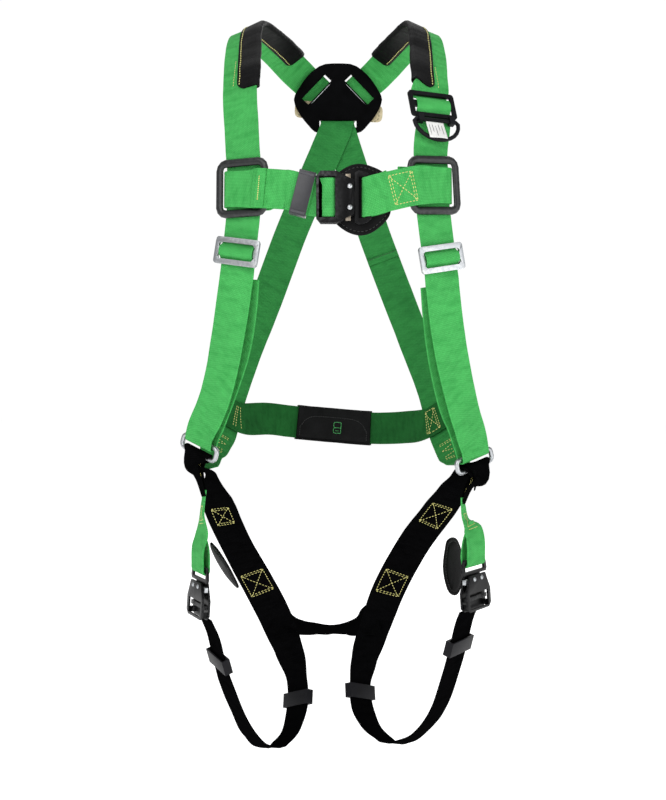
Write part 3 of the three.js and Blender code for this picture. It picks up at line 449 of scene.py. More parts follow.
class Strip:
    """A length of webbing: centre line, across, normal and width at even stations along it."""

    def __init__(self, *nodes):
        self.nodes = nodes
        joined = ribbon(nodes[0])
        for node in nodes[1:]:
            run = ribbon(node)
            gaps = {(p, q): np.linalg.norm(joined[0][p] - run[0][q]) for p in (0, -1) for q in (0, -1)}
            p, q = min(gaps, key=gaps.get)
            if p == 0:
                joined = [x[::-1] for x in joined]
            c, w, n, b = run if q == 0 else [x[::-1] for x in run]
            w = w * np.sign(np.dot(joined[1][-1], w[0]))
            n = n * np.sign(np.dot(joined[2][-1], n[0]))
            joined = [np.concatenate(pair) for pair in zip(joined, (c, w, n, b))]
        self.resample(*joined)

    def resample(self, centres, across, normals, widths):
        knots = np.concatenate([[0], np.cumsum(np.linalg.norm(np.diff(centres, axis=0), axis=1))])
        count = max(3, int(knots[-1] / STATION) + 1)
        self.s = np.linspace(0, knots[-1], count)
        self.c = ease(knots, centres, self.s)
        along = unit(np.gradient(self.c, self.s, axis=0))
        w = ease(knots, across, self.s)
        self.w = unit(w - along * np.sum(w * along, axis=1, keepdims=True))
        n = np.cross(along, self.w)
        self.n = n * np.sign(np.sum(n * ease(knots, normals, self.s), axis=1, keepdims=True))
        self.width = np.clip(np.interp(self.s, knots, widths), 0, WEB)
        self.length = knots[-1]

    def point(self, s, a, lift=0.0):
        """The point at arc length s, a across (for a full-width strap) and lift off the middle surface."""
        k = self.width_at(s) / WEB
        return self.at(self.c, s) + self.at(self.w, s) * a * k + self.at(self.n, s) * lift

    def at(self, values, s):
        return np.array([np.interp(s, self.s, values[:, k]) for k in range(3)])

    def width_at(self, s):
        return np.interp(s, self.s, self.width)

    def find(self, axis, value, low=0.0, high=None):
        """The arc length between low and high where one coordinate is nearest a value."""
        inside = (self.s >= low) & (self.s <= (self.length if high is None else high))
        miss = np.where(inside, np.abs(self.c[:, axis] - value), 9)
        return self.s[int(np.argmin(miss))]

    def nearest(self, p):
        return self.s[int(np.argmin(np.linalg.norm(self.c - np.array(p), axis=1)))]

    def height(self, p):
        """How far a point is off the middle surface."""
        s = self.nearest(p)
        return np.dot(p - self.at(self.c, s), self.at(self.n, s))

    def part(self, start, stop):
        return self.s[(self.s > start) & (self.s < stop)]

    def lengthen(self, more):
        """The strap carried on straight at both ends, by this length."""
        c = self.c
        c = np.vstack([c[0] - unit(c[3] - c[0]) * more, c, c[-1] + unit(c[-1] - c[-4]) * more])
        self.resample(c, *(np.concatenate([x[:1], x, x[-1:]]) for x in (self.w, self.n, self.width)))
        return self

    def gather(self, full, flat, slope, least):
        """Folded in its width with distance from a station, past the flat stretch on each side of it."""
        near = np.maximum(np.abs(self.s - full) - flat, 0)
        self.width = np.minimum(self.width, np.maximum(WEB - near * slope, least))
        return self

    def carry(self, drop, point, across, width):
        """The last `drop` of it led to a point where it is sewn to another piece; if negative, the first."""
        arrays = [self.c, self.w, self.n, self.width]
        if drop < 0:
            arrays = [x[::-1] for x in arrays]
        kept = int(abs(drop) / STATION)
        c, w, n, b = (x[:len(x) - kept] for x in arrays)
        across = unit(across) * np.sign(np.dot(across, w[-1]))
        off = np.cross(unit(point - c[-1]), across)
        off = off * np.sign(np.dot(off, n[-1]))
        arrays = [np.vstack([c, point]), np.vstack([w, across]), np.vstack([n, off]), np.append(b, width)]
        if drop < 0:
            arrays = [x[::-1] for x in arrays]
        self.resample(*arrays)
        return self

    def soften(self, inside, reach):
        """The bends rounded off where `inside` is true, over a stretch of about `reach`."""
        size = int(reach / STATION) | 1
        kernel = np.hanning(size + 2)[1:-1]
        kernel /= kernel.sum()

        def smooth(values):
            padded = np.pad(values, ((size // 2, size // 2), (0, 0)), mode="edge")
            return np.stack([np.convolve(column, kernel, "valid") for column in padded.T], axis=1)
        share = np.clip(smooth(inside.astype(float)[:, None]), 0, 1)
        c = self.c + (smooth(self.c) - self.c) * share
        w = unit(self.w + (smooth(self.w) - self.w) * share)
        n = unit(self.n + (smooth(self.n) - self.n) * share)
        self.resample(c, w, n, self.width)
        return self

    def level(self, start, stop, heights=None):
        """Between two stations the centre line climbs evenly and the crosswise direction turns evenly.
        A free end shorter than FREE_END before the first one goes along."""
        if heights is None:
            heights = self.at(self.c, start)[2], self.at(self.c, stop)[2]
        inside = (self.s >= (0 if start < FREE_END else start)) & (self.s <= stop)
        share = (self.s[inside] - start) / (stop - start)
        self.c[inside, 2] = heights[0] + share * (heights[1] - heights[0])
        turned = np.clip(share, 0, 1)[:, None]
        self.w[inside] = unit(self.at(self.w, start) * (1 - turned) + self.at(self.w, stop) * turned)
        self.n = unit(self.n - (self.n * self.w).sum(axis=1, keepdims=True) * self.w)
        return self

    def layer(self, start, stop, lift):
        """A second layer of the same webbing, on one face between two stations."""
        copy = object.__new__(Strip)
        inside = (self.s >= start) & (self.s <= stop)
        copy.nodes = ()
        c, w, n = self.c[inside], self.w[inside], self.n[inside]
        copy.resample(c + n * lift, w, n, self.width[inside])
        return copy


# Across positions and share of the half thickness: a flat weave with a rolled selvedge on each edge.
SELVEDGE = ((0.6, 1.0), (0.88, 0.95), (0.925, 1.04), (0.97, 0.96), (0.992, 0.62), (1, 0.0))
SECTION = (*((-a, h) for a, h in SELVEDGE[::-1]), (-0.3, 1.0), (0, 1.0), (0.3, 1.0), *SELVEDGE)
COLUMNS = SECTION + tuple((a, -h) for a, h in SECTION[-2:0:-1])
RIPPLE, SWAY, BOW = 0.10 * MM, 0.22 * MM, 0.12 * MM       # how far the web, its edges and its faces wander


def cloth(name, strip, finish, body=ROOT):
    """The webbing itself, with closed cut ends and a little life in its edges."""
    count, last = len(COLUMNS), len(strip.s) - 1
    verts, uvs = [], []
    for s, c, w, n, width in zip(strip.s, strip.c, strip.w, strip.n, strip.width):
        ripple = RIPPLE * noise.noise(Vector(c) * 60)
        sway = SWAY * noise.noise(Vector((s * 45, strip.length, 0)))
        for a, h in COLUMNS:
            bow = ripple + BOW * noise.noise(Vector((s * 90, a * 2, strip.length)))
            verts.append(c + w * (a * width / 2 + sway) + n * (h * WEB_T / 2 + bow))
            uvs.append((0.5 + a * width / WEB / 2, s / WEB))
    faces = bands(last + 1, count)
    for base in (0, last * count):
        for k in range(count // 2):
            quad = [base + k, base + k + 1, base + (count - k - 1) % count, base + (count - k) % count]
            corners = list(dict.fromkeys(quad))
            if len(corners) > 2:
                faces.append(tuple(corners))
    made = piece(name, verts, faces, finish, body, uvs)
    if strip.nodes:
        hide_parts(*strip.nodes)
    return made


# ---------------------------------------------------------------- sewing
def bead():
    """One stitch as a unit capsule: x along the thread, z off the cloth."""
    verts = [(-1, 0, -0.3)]
    for x, r in ((-0.82, 0.62), (-0.45, 1.0), (0.45, 1.0), (0.82, 0.62)):
        verts += [(x, r * math.cos(k * math.pi / 3), r * math.sin(k * math.pi / 3)) for k in range(6)]
    verts.append((1, 0, -0.3))
    return np.array(verts), fan(1, 6, 0) + bands(4, 6, 1) + fan(19, 6, 25)


BEAD, BEAD_FACES = bead()


class Sewing:
    """Collects stitches for one body and colour, and makes one piece of them."""

    def __init__(self, name, finish="thread", body=ROOT):
        self.name, self.finish, self.body = name, finish, body
        self.verts, self.faces = [], []

    def stitch(self, p, q, up, radius=THREAD):
        x = q - p
        length = np.linalg.norm(x)
        if length < 1e-5:
            return
        x = x / length
        z = up - x * np.dot(up, x)
        z = z / np.linalg.norm(z)
        y = np.cross(z, x)
        base = len(self.verts)
        middle = (p + q) / 2
        for bx, by, bz in BEAD:
            self.verts.append(middle + x * (bx * length / 2) + y * (by * radius) + z * (bz * radius * 0.8))
        self.faces += [tuple(base + k for k in face) for face in BEAD_FACES]

    def run(self, strip, path, lift, pitch=STITCH, radius=THREAD):
        """Stitches along a path of (s, a) points on a strap's face; lift is signed."""
        for (s0, a0), (s1, a1) in zip(path, path[1:]):
            count = max(1, round(math.hypot(s1 - s0, a1 - a0) / pitch))
            for k in range(count):
                f, g = (k + 0.06) / count, (k + 0.76) / count
                p, q = (strip.point(s0 + (s1 - s0) * t, a0 + (a1 - a0) * t, lift) for t in (f, g))
                up = strip.at(strip.n, s0 + (s1 - s0) * f) * math.copysign(1, lift)
                self.stitch(p, q, up, radius)

    def make(self):
        piece(self.name, self.verts, self.faces, self.finish, self.body)


def sew(strip, paths, sewing, **options):
    """The same stitches on both faces of a strap."""
    for path in paths:
        for lift in (WEB_T / 2, -WEB_T / 2):
            sewing.run(strip, path, lift, **options)


def row(s, reach, slant=0.0):
    """A straight row across a strap."""
    return [(s, -reach), (s + slant, reach)]


def double_box(s0, s1, inset):
    """A box with a cross in it, whose rows across the strap are doubled."""
    a, step = HALF - inset, math.copysign(2.8 * MM, s1 - s0)
    box = [(s0, -a), (s1, -a), (s1, a), (s0, a), (s0, -a)]
    return [box, [(s0, -a), (s1, a)], [(s0, a), (s1, -a)], row(s0 + step, a), row(s1 - step, a)]


def tack(s, reach, pitch, height):
    """A bar tack: a tight zigzag across the strap."""
    count = int(2 * reach / pitch)
    return [(s + (height / 2 if k % 2 else -height / 2), k * pitch - reach) for k in range(count + 1)]


def zigzag(s0, s1, reach, waves):
    return [(s0 + (s1 - s0) * k / waves, reach if k % 2 else -reach) for k in range(waves + 1)]


def triangles(s0, s1, inset):
    """Two triangles that meet at their tips."""
    a, m = HALF - inset, (s0 + s1) / 2
    return [[(s, -a), (s, a), (m, 0), (s, -a)] for s in (s0, s1)]


# ---------------------------------------------------------------- leather folded over webbing
def extent(strip, node):
    """The stretch of a strip that a CAD node covers, and the side of the strip it lies on."""
    cad = points(node)
    at = np.array([strip.nearest(p) for p in cad])
    side = sum(np.dot(p - strip.at(strip.c, s), strip.at(strip.w, s)) for p, s in zip(cad, at))
    return at.min(), at.max(), math.copysign(1, side)


def sleeve(name, strip, node, sewing):
    """Leather folded round one edge of a strap: rounded corners at its ends, a seam by its open edges."""
    reach, rise, wall, longer = -2.5 * MM, 2.3 * MM, 1.5 * MM, 15 * MM
    start, stop, side = extent(strip, node)
    start -= longer
    stations = strip.part(start, stop)
    edge, corner, fold = HALF + 1.7 * MM, 13 * MM, 3 * MM
    lip = np.array([-0.5 * MM, 0])
    verts, uvs = [], []
    for s in stations:
        near = min(s - start, stop - s)
        low = reach + corner - math.sqrt(max(corner**2 - max(corner - near, 0) ** 2, 0))
        path = [(low + (edge - fold - low) * k / 5, rise) for k in range(6)]
        path += [(edge - fold + fold * math.cos(t), rise * math.sin(t)) for t in np.linspace(1.3, -1.3, 6)]
        path += [(low + (edge - fold - low) * k / 5, -rise) for k in range(5, -1, -1)]
        path = np.array(path)
        away = unit(np.gradient(path, axis=0))
        away = np.stack([-away[:, 1], away[:, 0]], axis=1)
        puff = 0.7 * MM * noise.noise(Vector((s * 55, strip.length, 3)))
        puff += 0.3 * MM * noise.noise(Vector((s * 190, 1, 2)))
        swell = 1.3 * MM * np.sin(np.linspace(0, math.pi, len(path)))[:, None]
        outer = path + away * (wall / 2 + puff + swell)
        inner = path - away * (wall / 2)
        ring = [*outer, path[-1] + lip, *inner[::-1], path[0] + lip]
        k = strip.width_at(s) / WEB
        c, w, n = (strip.at(values, s) for values in (strip.c, strip.w, strip.n))
        verts += [c + w * side * a * k + n * b for a, b in ring]
        uvs += [(a / WEB, s / WEB) for a, b in ring]
    count = len(ring)
    faces = bands(len(stations), count)
    for base in (0, (len(stations) - 1) * count):
        faces += [(base + k, base + k + 1, base + count - 3 - k, base + count - 2 - k)
                  for k in range(count // 2 - 2)]
    made = piece(name, verts, faces, "leather", uvs=uvs)
    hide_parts(node)
    over = rise + wall / 2 + 0.5 * MM
    seam = [(s, side * (reach + 3.4 * MM + 0.8 * MM * noise.noise(Vector((s * 60, 0, strip.length)))))
            for s in np.arange(start + 7 * MM, stop - 7 * MM, STITCH)]
    for lift in (over, -over):
        sewing.run(strip, seam, lift, radius=0.6 * MM)


# ---------------------------------------------------------------- pads and flat leather from CAD outlines
def outline(node):
    """The outline of a flat CAD plate as an ordered loop, its normal, and its half thickness."""
    bm = welded(node)
    bmesh.ops.dissolve_limit(bm, angle_limit=0.02, verts=bm.verts, edges=bm.edges)
    big = sorted(bm.faces, key=lambda f: f.calc_area())[-2:]
    front, back = sorted(big, key=lambda f: f.calc_center_median().y)
    loop = np.array([v.co[:] for v in front.verts])
    normal = np.array(front.normal[:])
    depth = np.dot(loop[0] - np.array(back.verts[0].co[:]), normal) / 2
    bm.free()
    return loop - normal * depth, normal, abs(depth)


def even(loop, count):
    """A closed loop resampled to evenly spaced points, with its corners eased."""
    closed = np.vstack([loop, loop[:1]])
    knots = np.concatenate([[0], np.cumsum(np.linalg.norm(np.diff(closed, axis=0), axis=1))])
    at = np.linspace(0, knots[-1], count, endpoint=False)
    points = np.stack([np.interp(at, knots, closed[:, k]) for k in range(3)], axis=1)
    for _ in range(2):
        points = (np.roll(points, 1, axis=0) + 2 * points + np.roll(points, -1, axis=0)) / 4
    return points


def pad(name, node, finish, sewing, crown=1.4 * MM, seam=4 * MM):
    """A padded leather piece: bound edge, a sewn channel inside it, and a crowned middle."""
    loop, normal, depth = outline(node)
    rim = even(loop, 96)
    middle = rim.mean(axis=0)
    groove = 1 - seam / np.linalg.norm(rim - middle, axis=1).mean()
    # distance from the centre (1 is the rim), height as a share of the half thickness, share of the crown
    rows = ((1.0, 0.0, 0), (0.995, 0.6, 0), (0.97, 0.95, 0), (groove + 0.025, 1.0, 0), (groove, 0.62, 0),
            (groove - 0.03, 0.95, 0.15), (groove * 0.8, 1.0, 0.6), (groove * 0.5, 1.0, 0.9),
            (groove * 0.2, 1.0, 1.0))
    verts = []
    for sign in (1, -1):
        for share, high, swell in rows if sign > 0 else rows[1:]:
            for p in rim:
                out = middle + (p - middle) * share
                wrinkle = 0.25 * MM * noise.noise(Vector(out) * 130) * (1 if swell else 0)
                verts.append(out + normal * (sign * (depth * high + crown * swell) + wrinkle))
        verts.append(middle + normal * sign * (depth + crown))
    n, m = len(rim), len(rows)
    rear = m * n + 1                       # the rear face's rows, which share the rim with the front's
    faces = bands(m, n) + fan((m - 1) * n, n, m * n)
    faces += [(k, rear + k, rear + (k + 1) % n, (k + 1) % n) for k in range(n)]
    faces += bands(m - 1, n, rear) + fan(rear + (m - 2) * n, n, len(verts) - 1)
    made = piece(name, verts, faces, finish)
    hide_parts(node)
    for sign in (1, -1):
        path = [middle + (p - middle) * groove + normal * sign * depth * 0.8 for p in rim]
        for k in range(0, n, 2):
            sewing.stitch(path[k], path[(k + 1) % n] * 0.8 + path[(k + 2) % n] * 0.2, normal * sign)


def softened(name, node, finish, radius, puff):
    """A sewn leather piece in its CAD solid's place: rounded edges, and a surface that isn't quite flat."""
    bm = welded(node)
    bmesh.ops.dissolve_limit(bm, angle_limit=0.01, verts=bm.verts, edges=bm.edges)
    split_faces(bm)
    bevel(bm, [e for e in bm.edges if len(e.link_faces) == 2 and e.calc_face_angle(0) > 0.6], radius, 2)
    long_edges = [e for e in bm.edges if e.calc_length() > 6 * MM]
    bmesh.ops.subdivide_edges(bm, edges=long_edges, cuts=2, use_grid_fill=True)
    split_faces(bm)
    bm.normal_update()
    for v in bm.verts:
        v.co += v.normal * puff * noise.noise(v.co * 70)
    reshaped(name, bm, node, finish, 50)


# ---------------------------------------------------------------- straps, and where they are sewn together
yellow = Sewing("yellow_stitching")
dark = Sewing("dark_stitching", "dark_thread")

straps = {
    "right_shoulder": Strip("right_front_strap", "right_shoulder_strap", "left_back_strap"),
    "left_shoulder": Strip("left_front_strap", "left_shoulder_strap", "right_back_strap"),
    "waist": Strip("waist_strap"),
    "right_chest": Strip("right_chest_strap"),
    "left_chest": Strip("left_chest_strap"),
    "chest_tail": Strip("right_chest_tail"),
}
for side in SIDES:
    green = straps[side + "_buckle"] = Strip(side + "_buckle_strap").lengthen(9 * MM)
    green.gather(green.length / 2, flat=30 * MM, slope=0.85, least=11 * MM)
    hip = straps[side + "_loop"] = Strip(side + "_hip_loop")
    hip.gather(hip.length / 2, flat=2 * MM, slope=1.05, least=11 * MM).lengthen(3 * MM)
    straps[side + "_leg"] = Strip(side + "_leg_strap", side + "_leg_loop")
    arc = straps[side + "_shoulder"]
    arc.soften((arc.c[:, Z] > -0.03) & (arc.c[:, Y] < -0.09), 62 * MM)
seat = straps["seat"] = Strip("seat_strap")
folded = straps["right_leg"]
folded.width = np.minimum(folded.width, 15 * MM + folded.s * 0.68)

# The chest straps' even stretches: from one station to the next, and the heights there if they change.
CHEST_SPANS = {"right_chest": ((0.020, 0.088, (-0.1943, -0.189)), (0.096, 0.173, (-0.189, -0.196))),
               "chest_tail": ((0.0, 0.044, (-0.1918, -0.1959)),),
               "left_chest": ((0.060, 0.118, None),)}
CHEST_RING = {"right_chest": 62 * MM, "chest_tail": 62 * MM, "left_chest": 56 * MM}    # where its bend starts
for name, spans in CHEST_SPANS.items():
    run = straps[name]
    for start, stop, heights in spans:
        run.level(start, stop, heights)
    run.width = np.maximum(run.width, 42 * MM)
    if name == "right_chest":
        run.width = np.minimum(run.width, 32 * MM + run.s * 0.5)
    aside = np.abs(run.c[:, X])
    run.soften((aside > CHEST_RING[name]) & (aside < 100 * MM), 36 * MM)


def behind(strip, s, gap):
    """The point this far behind a strap's middle surface."""
    normal = strip.at(strip.n, s)
    return strip.at(strip.c, s) + normal * math.copysign(gap, normal[Y])


def join_straps(side, other):
    """A leg strap starts behind its hip loop; a back strap and the seat strap end on the leg strap."""
    leg, hip, back = straps[side + "_leg"], straps[side + "_loop"], straps[other + "_shoulder"]
    s = 0.27 * hip.length
    if side == "right" and hip.at(hip.n, s)[Y] <= 0:
        s = 0.73 * hip.length
    leg.carry(-3 * MM, behind(hip, s, 2.3 * MM), hip.at(hip.w, s), leg.width[0])
    s = 20 * MM
    back.carry(26 * MM, behind(leg, s, 2.4 * MM), leg.at(leg.w, s), 32 * MM)
    s = leg.find(Z, -0.727, 0.1, 0.4)
    x = leg.at(leg.c, s)[X]
    end = -14 * MM if abs(seat.c[0][X] - x) < abs(seat.c[-1][X] - x) else 14 * MM
    seat.carry(end, behind(leg, s, 2.6 * MM), leg.at(leg.c, s + 5 * MM) - leg.at(leg.c, s - 5 * MM), WEB)


def shade_back(made, strip):
    """Painted shade: the darker copy of the green on a shoulder strap's run down the back, from its rearmost
    point on.
    """
    made.data.materials.append(MATERIAL["back_shade_green"])
    past = int(np.argmax(strip.c[:, Y])) * len(COLUMNS)
    for face in made.data.polygons:
        face.material_index = int(min(face.vertices) >= past)


for side, other in (SIDES, SIDES[::-1]):
    join_straps(side, other)
BLACK = {"right_loop", "left_loop", "right_leg", "left_leg", "seat"}
for key, strip in straps.items():
    # the waist strap takes the painted-shade copy of the green
    finish = "black" if key in BLACK else "waist_shade_green" if key == "waist" else "green"
    made = cloth(key + "_webbing", strip, finish)
    if key.endswith("_shoulder"):
        shade_back(made, strip)
for side in SIDES:
    cloth(side + "_slide_wrap", Strip(side + "_slide_web"), "green", side + "_shoulder_slide")
for side in SIDES:
    sleeve(side + "_sleeve", straps[side + "_shoulder"], side + "_shoulder_sleeve", yellow)
pad("chest_pad", "chest_buckle_pad", "leather", dark)
for side in SIDES:
    pad(side + "_thigh_pad", side + "_leg_pad", "leather", dark, crown=0.6 * MM)
pad("dorsal_band", "dorsal_keeper_band", "suede", dark, crown=0.0, seam=3 * MM)
softened("pouch", "label_pouch", "leather", 0.5 * MM, 0.25 * MM)
softened("pouch_cover", "label_flap", "leather", 0.4 * MM, 0.2 * MM)


# ---------------------------------------------------------------- the blank tag
def block_axes(node):
    """A rectangular CAD block's middle and its directions: length leftward, width upward, face forward."""
    bm = welded(node)
    corners = np.array([v.co[:] for v in bm.verts])
    bm.free()
    middle = corners.mean(axis=0)
    along, up_way, out = np.linalg.svd(corners - middle)[2]
    return middle, along * np.sign(along[X]), up_way * np.sign(up_way[Z]), out * -np.sign(out[Y])


def tag():
    """A blank white cloth tag that hangs in front of the lanyard ring, with a few plain woven lines."""
    middle, along, up_way, out = block_axes("lanyard_keeper_tag")
    left, right, top, low = -19 * MM, 4 * MM, 8.75 * MM, -12.75 * MM
    n = 13                                 # points each way on a face

    def spot(x, y, lift):
        share = (y - top) / (low - top)
        curl = share * (1.0 * MM * math.sin(share * 2.2) + 0.5 * MM * (1 + math.cos((x + 3 * MM) * 190)))
        slant = x - (y - top) * 0.05
        return middle + along * slant + up_way * y + out * (curl + lift - 0.35 * MM)
    verts = [spot(x, y, lift) for lift in (0.25 * MM, -0.25 * MM)
             for y in np.linspace(top, low, n) for x in np.linspace(left, right, n)]
    front = [(r * n + k, r * n + k + 1, (r + 1) * n + k + 1, (r + 1) * n + k)
             for r in range(n - 1) for k in range(n - 1)]
    rear = [tuple(k + n * n for k in face[::-1]) for face in front]
    rim = [*range(n), *range(2 * n - 1, n * n, n), *range(n * n - 2, n * n - n - 1, -1),
           *range(n * n - 2 * n, 0, -n)]
    edge = [(a, b, b + n * n, a + n * n) for a, b in zip(rim, rim[1:] + rim[:1])]
    made = piece("blank_tag", verts, front + rear + edge, "label", "lanyard_ring")
    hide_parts("lanyard_keeper_tag")
    lines = Sewing("tag_lines", "dark_thread", "lanyard_ring")
    ends = ((6.25, -9.75), (6.25, -5.75), (4.25, -10.75), (6.25, -3.75), (5.25, -8.75))
    for k, (start, stop) in enumerate(ends):
        x = (4 * k - 16) * MM
        lines.stitch(spot(x, start * MM, 0.4 * MM), spot(x, stop * MM, 0.4 * MM), out, 0.28 * MM)
    lines.make()


tag()


# ---------------------------------------------------------------- box stitches, bar tacks and hems
# Each leg's boxes: the heights of both ends, and how far in from the webbing's edge they are sewn.
LEG_BOXES = {"right": ((-0.573, -0.595, 10.5 * MM), (-0.661, -0.692, 6.5 * MM)),
             "left": ((-0.568, -0.594, 8 * MM), (-0.661, -0.692, 6.5 * MM))}
PLATE_SEAM = {"right": (-0.060, -0.022), "left": (-0.062, -0.030)}       # heights of its ends
HIP_DIAMOND = {"right": 0.66, "left": 0.72}                              # its place along the hip loop


def leg_stitches(side):
    leg = straps[side + "_leg"]
    for high, low, inset in LEG_BOXES[side]:
        sew(leg, double_box(leg.find(Z, high, 0, 0.3), leg.find(Z, low, 0, 0.3), inset), yellow)


def chest_stitches():
    """A box on the left chest strap, and the rolled hem at the end of the right one's tail."""
    chest, tail = straps["left_chest"], straps["chest_tail"]
    inner, outer = (chest.find(X, x, 0.05, 0.13) for x in (0.0600, 0.0870))
    sew(chest, double_box(inner, outer, 5.5 * MM), yellow)
    hem = min((tail.s[4], tail.s[-5]), key=lambda s: tail.at(tail.c, s)[X])
    inward = 1 if hem < tail.length / 2 else -1
    face = WEB_T * math.copysign(1, -tail.at(tail.n, hem)[Y])
    rolled = tail.layer(*sorted((hem - inward * 6 * MM, hem + inward * 8 * MM)), face)
    cloth("chest_hem", rolled, "green")
    middle = rolled.length * (0.4 if inward > 0 else 0.6)
    rows = [row(middle + slant, 14 * MM, -slant) for slant in (0, 0.5 * MM)]
    sew(rolled, rows, yellow, pitch=2.4 * MM, radius=0.6 * MM)


def back_band():
    """A short second layer across one back strap, sewn with dark thread."""
    back = straps["right_shoulder"]
    s = back.find(Z, -0.233, back.length - 0.6)
    band = back.layer(s - 5 * MM, s + 5 * MM, math.copysign(WEB_T, -back.at(back.n, s)[Y]))
    # painted shade: the band in the darker back copy of the green
    cloth("back_band", band, "back_shade_green")
    sew(band, [row(1.5 * MM, 20 * MM)], dark, pitch=2.6 * MM)


def waist_stitches():
    """A box on the left of the waist strap and three slanted rows on its right."""
    waist = straps["waist"]
    s = waist.nearest((0.126, -0.112, -0.462))
    sew(waist, double_box(s - 9 * MM, s + 9 * MM, 5.5 * MM), yellow)
    s = waist.nearest((-0.136, -0.114, -0.456))
    sew(waist, [row(s + k * MM, 16 * MM, 3 * MM) for k in (-6, 0, 3)], yellow)


def shoulder_stitches(side):
    """A zigzag between pairs of rows near the strap's lower end, and a short seam beside the dorsal plate."""
    shoulder = straps[side + "_shoulder"]
    s = shoulder.find(Y, -0.165, shoulder.length - 0.13) - 8 * MM
    sew(shoulder, [zigzag(s - 13 * MM, s + 9 * MM, 13 * MM, 3)], yellow)
    sew(shoulder, [row(s + k * MM, 14 * MM) for k in (-20, -17, 13, 16)], yellow)
    level = shoulder.find(Z, -0.05, 0.45, 0.85)
    outer = math.copysign(1, shoulder.at(shoulder.w, level)[X]) * (-1 if side == "right" else 1)
    low, high = (shoulder.find(Z, z, 0.45, 0.85) for z in PLATE_SEAM[side])
    sew(shoulder, [[(low, outer * 8.5 * MM), (high, outer * 6 * MM)]], yellow)


def hip_stitches(side):
    """A diamond with a bar in it and a bar tack on the hip loop; triangles on the green buckle strap."""
    loop, buckle = straps[side + "_loop"], straps[side + "_buckle"]
    middle, reach = loop.length * HIP_DIAMOND[side], 9 * MM
    start, end = (middle - reach, 0), (middle + reach, 0)
    bar = [(middle - 4 * MM, 3 * MM), (middle + 5 * MM, -3 * MM)]
    sew(loop, [[start, (middle, reach), end, (middle, -reach), start], bar], yellow, pitch=2.6 * MM)
    sew(loop, [tack(middle + 19 * MM, 7 * MM, 2 * MM, 8 * MM)], yellow, pitch=3 * MM)
    tip = buckle.length - 28 * MM
    across = row(tip - 13 * MM, 12 * MM)
    sew(buckle, [*triangles(tip - 9 * MM, tip + 8 * MM, 9 * MM), across], yellow, pitch=2.6 * MM)


def pouch_stitches():
    """The arched seam round the pouch's flap, and a plain stitched mark on it."""
    waist, (box_low, box_high) = straps["waist"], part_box("label_flap")
    middle = waist.nearest((0, -0.031, -0.470))
    up = math.copysign(1, waist.at(waist.w, middle)[Z])
    lift = max((waist.height(p) for p in points("label_flap")), key=abs)
    lift += math.copysign(0.25 * MM, lift)
    sides = box_low.x + 4 * MM, box_high.x - 4 * MM
    start, stop = sorted(waist.nearest((x, -0.040, -0.470)) for x in sides)
    foot = -up * 18 * MM
    arch = [(start + (stop - start) * t, up * (11 - 17 * (2 * t - 1) ** 6) * MM)
            for t in np.linspace(0, 1, 15)]
    seam = Sewing("flap_stitching", "dark_thread", "pouch_flap")
    seam.run(waist, [(start, foot), *arch, (stop, foot)], lift, pitch=3 * MM, radius=0.3 * MM)
    seam.make()
    mark = Sewing("generic_mark", "mark", "pouch_flap")
    bulges = ((5.5, 6.5), (5.5, 1.5), (4, 0), (5.5, -1.5), (5.5, -6.5))
    outline_path = ((-5, -8), (-5, 8), (4, 8), *bulges, (4, -8), (-5, -8))
    for line in (outline_path, ((-5, 0), (4, 0)), ((-2, -4.5), (3, -4.5))):
        path = [(middle + x * MM, up * (y * 0.95 - 3) * MM) for x, y in line]
        mark.run(waist, path, lift, pitch=2 * MM, radius=0.42 * MM)
    mark.make()


for side in SIDES:
    leg_stitches(side)
chest_stitches()
back_band()
waist_stitches()
for side in SIDES:
    shoulder_stitches(side)
    hip_stitches(side)
pouch_stitches()
for s in (9 * MM, seat.length - 9 * MM):
    sew(seat, [row(s, 6 * MM)], dark)
yellow.make()
dark.make()


# ---------------------------------------------------------------- metal and moulded parts
HARD = {"gun": ("chest_buckle_front", "chest_buckle_back", "buckle_tongue", "buckle_body"),
        "bronze": ("chest_buckle_upper_tab", "chest_buckle_lower_tab"),
        "zinc": ("_slide", "hip_ring", "_tab", "rivet"), "slate": ("lanyard_keeper", "leg_keeper"),
        "dark": ("chest_ring", "d_ring"), "plastic": ("dorsal_plate",), "grey": ("strap_keeper",)}
ROUND = ("ring", "rivet")      # bent rod and turned parts need no edge radius


def flat_frame(bm, wider, thinner, corner):
    """A square ring of round rod pressed into a flatter, wider bar; its centre line stays where it is."""
    co = np.array([v.co[:] for v in bm.verts])
    middle = (co.max(axis=0) + co.min(axis=0)) / 2
    normal = np.linalg.svd(co - middle)[2][2]
    side = max(bm.edges, key=lambda e: e.calc_length())
    u = unit(np.array((side.verts[1].co - side.verts[0].co)[:]))
    v = np.cross(normal, u)
    a, b, h = ((co - middle) @ axis for axis in (u, v, normal))
    rod = h.max()
    qa, qb = np.abs(a) - (a.max() - rod - corner), np.abs(b) - (b.max() - rod - corner)
    bent = (qa > 0) & (qb > 0)
    span = np.hypot(qa, qb)
    away = np.where(bent, span, np.maximum(qa, qb)) - corner
    ga = np.where(bent, qa / span, qa > qb) * np.sign(a) * away * (wider - 1)
    gb = np.where(bent, qb / span, qb >= qa) * np.sign(b) * away * (wider - 1)
    co += np.outer(ga, u) + np.outer(gb, v) - np.outer(h * (1 - thinner), normal)
    for vert, place in zip(bm.verts, co):
        vert.co = place


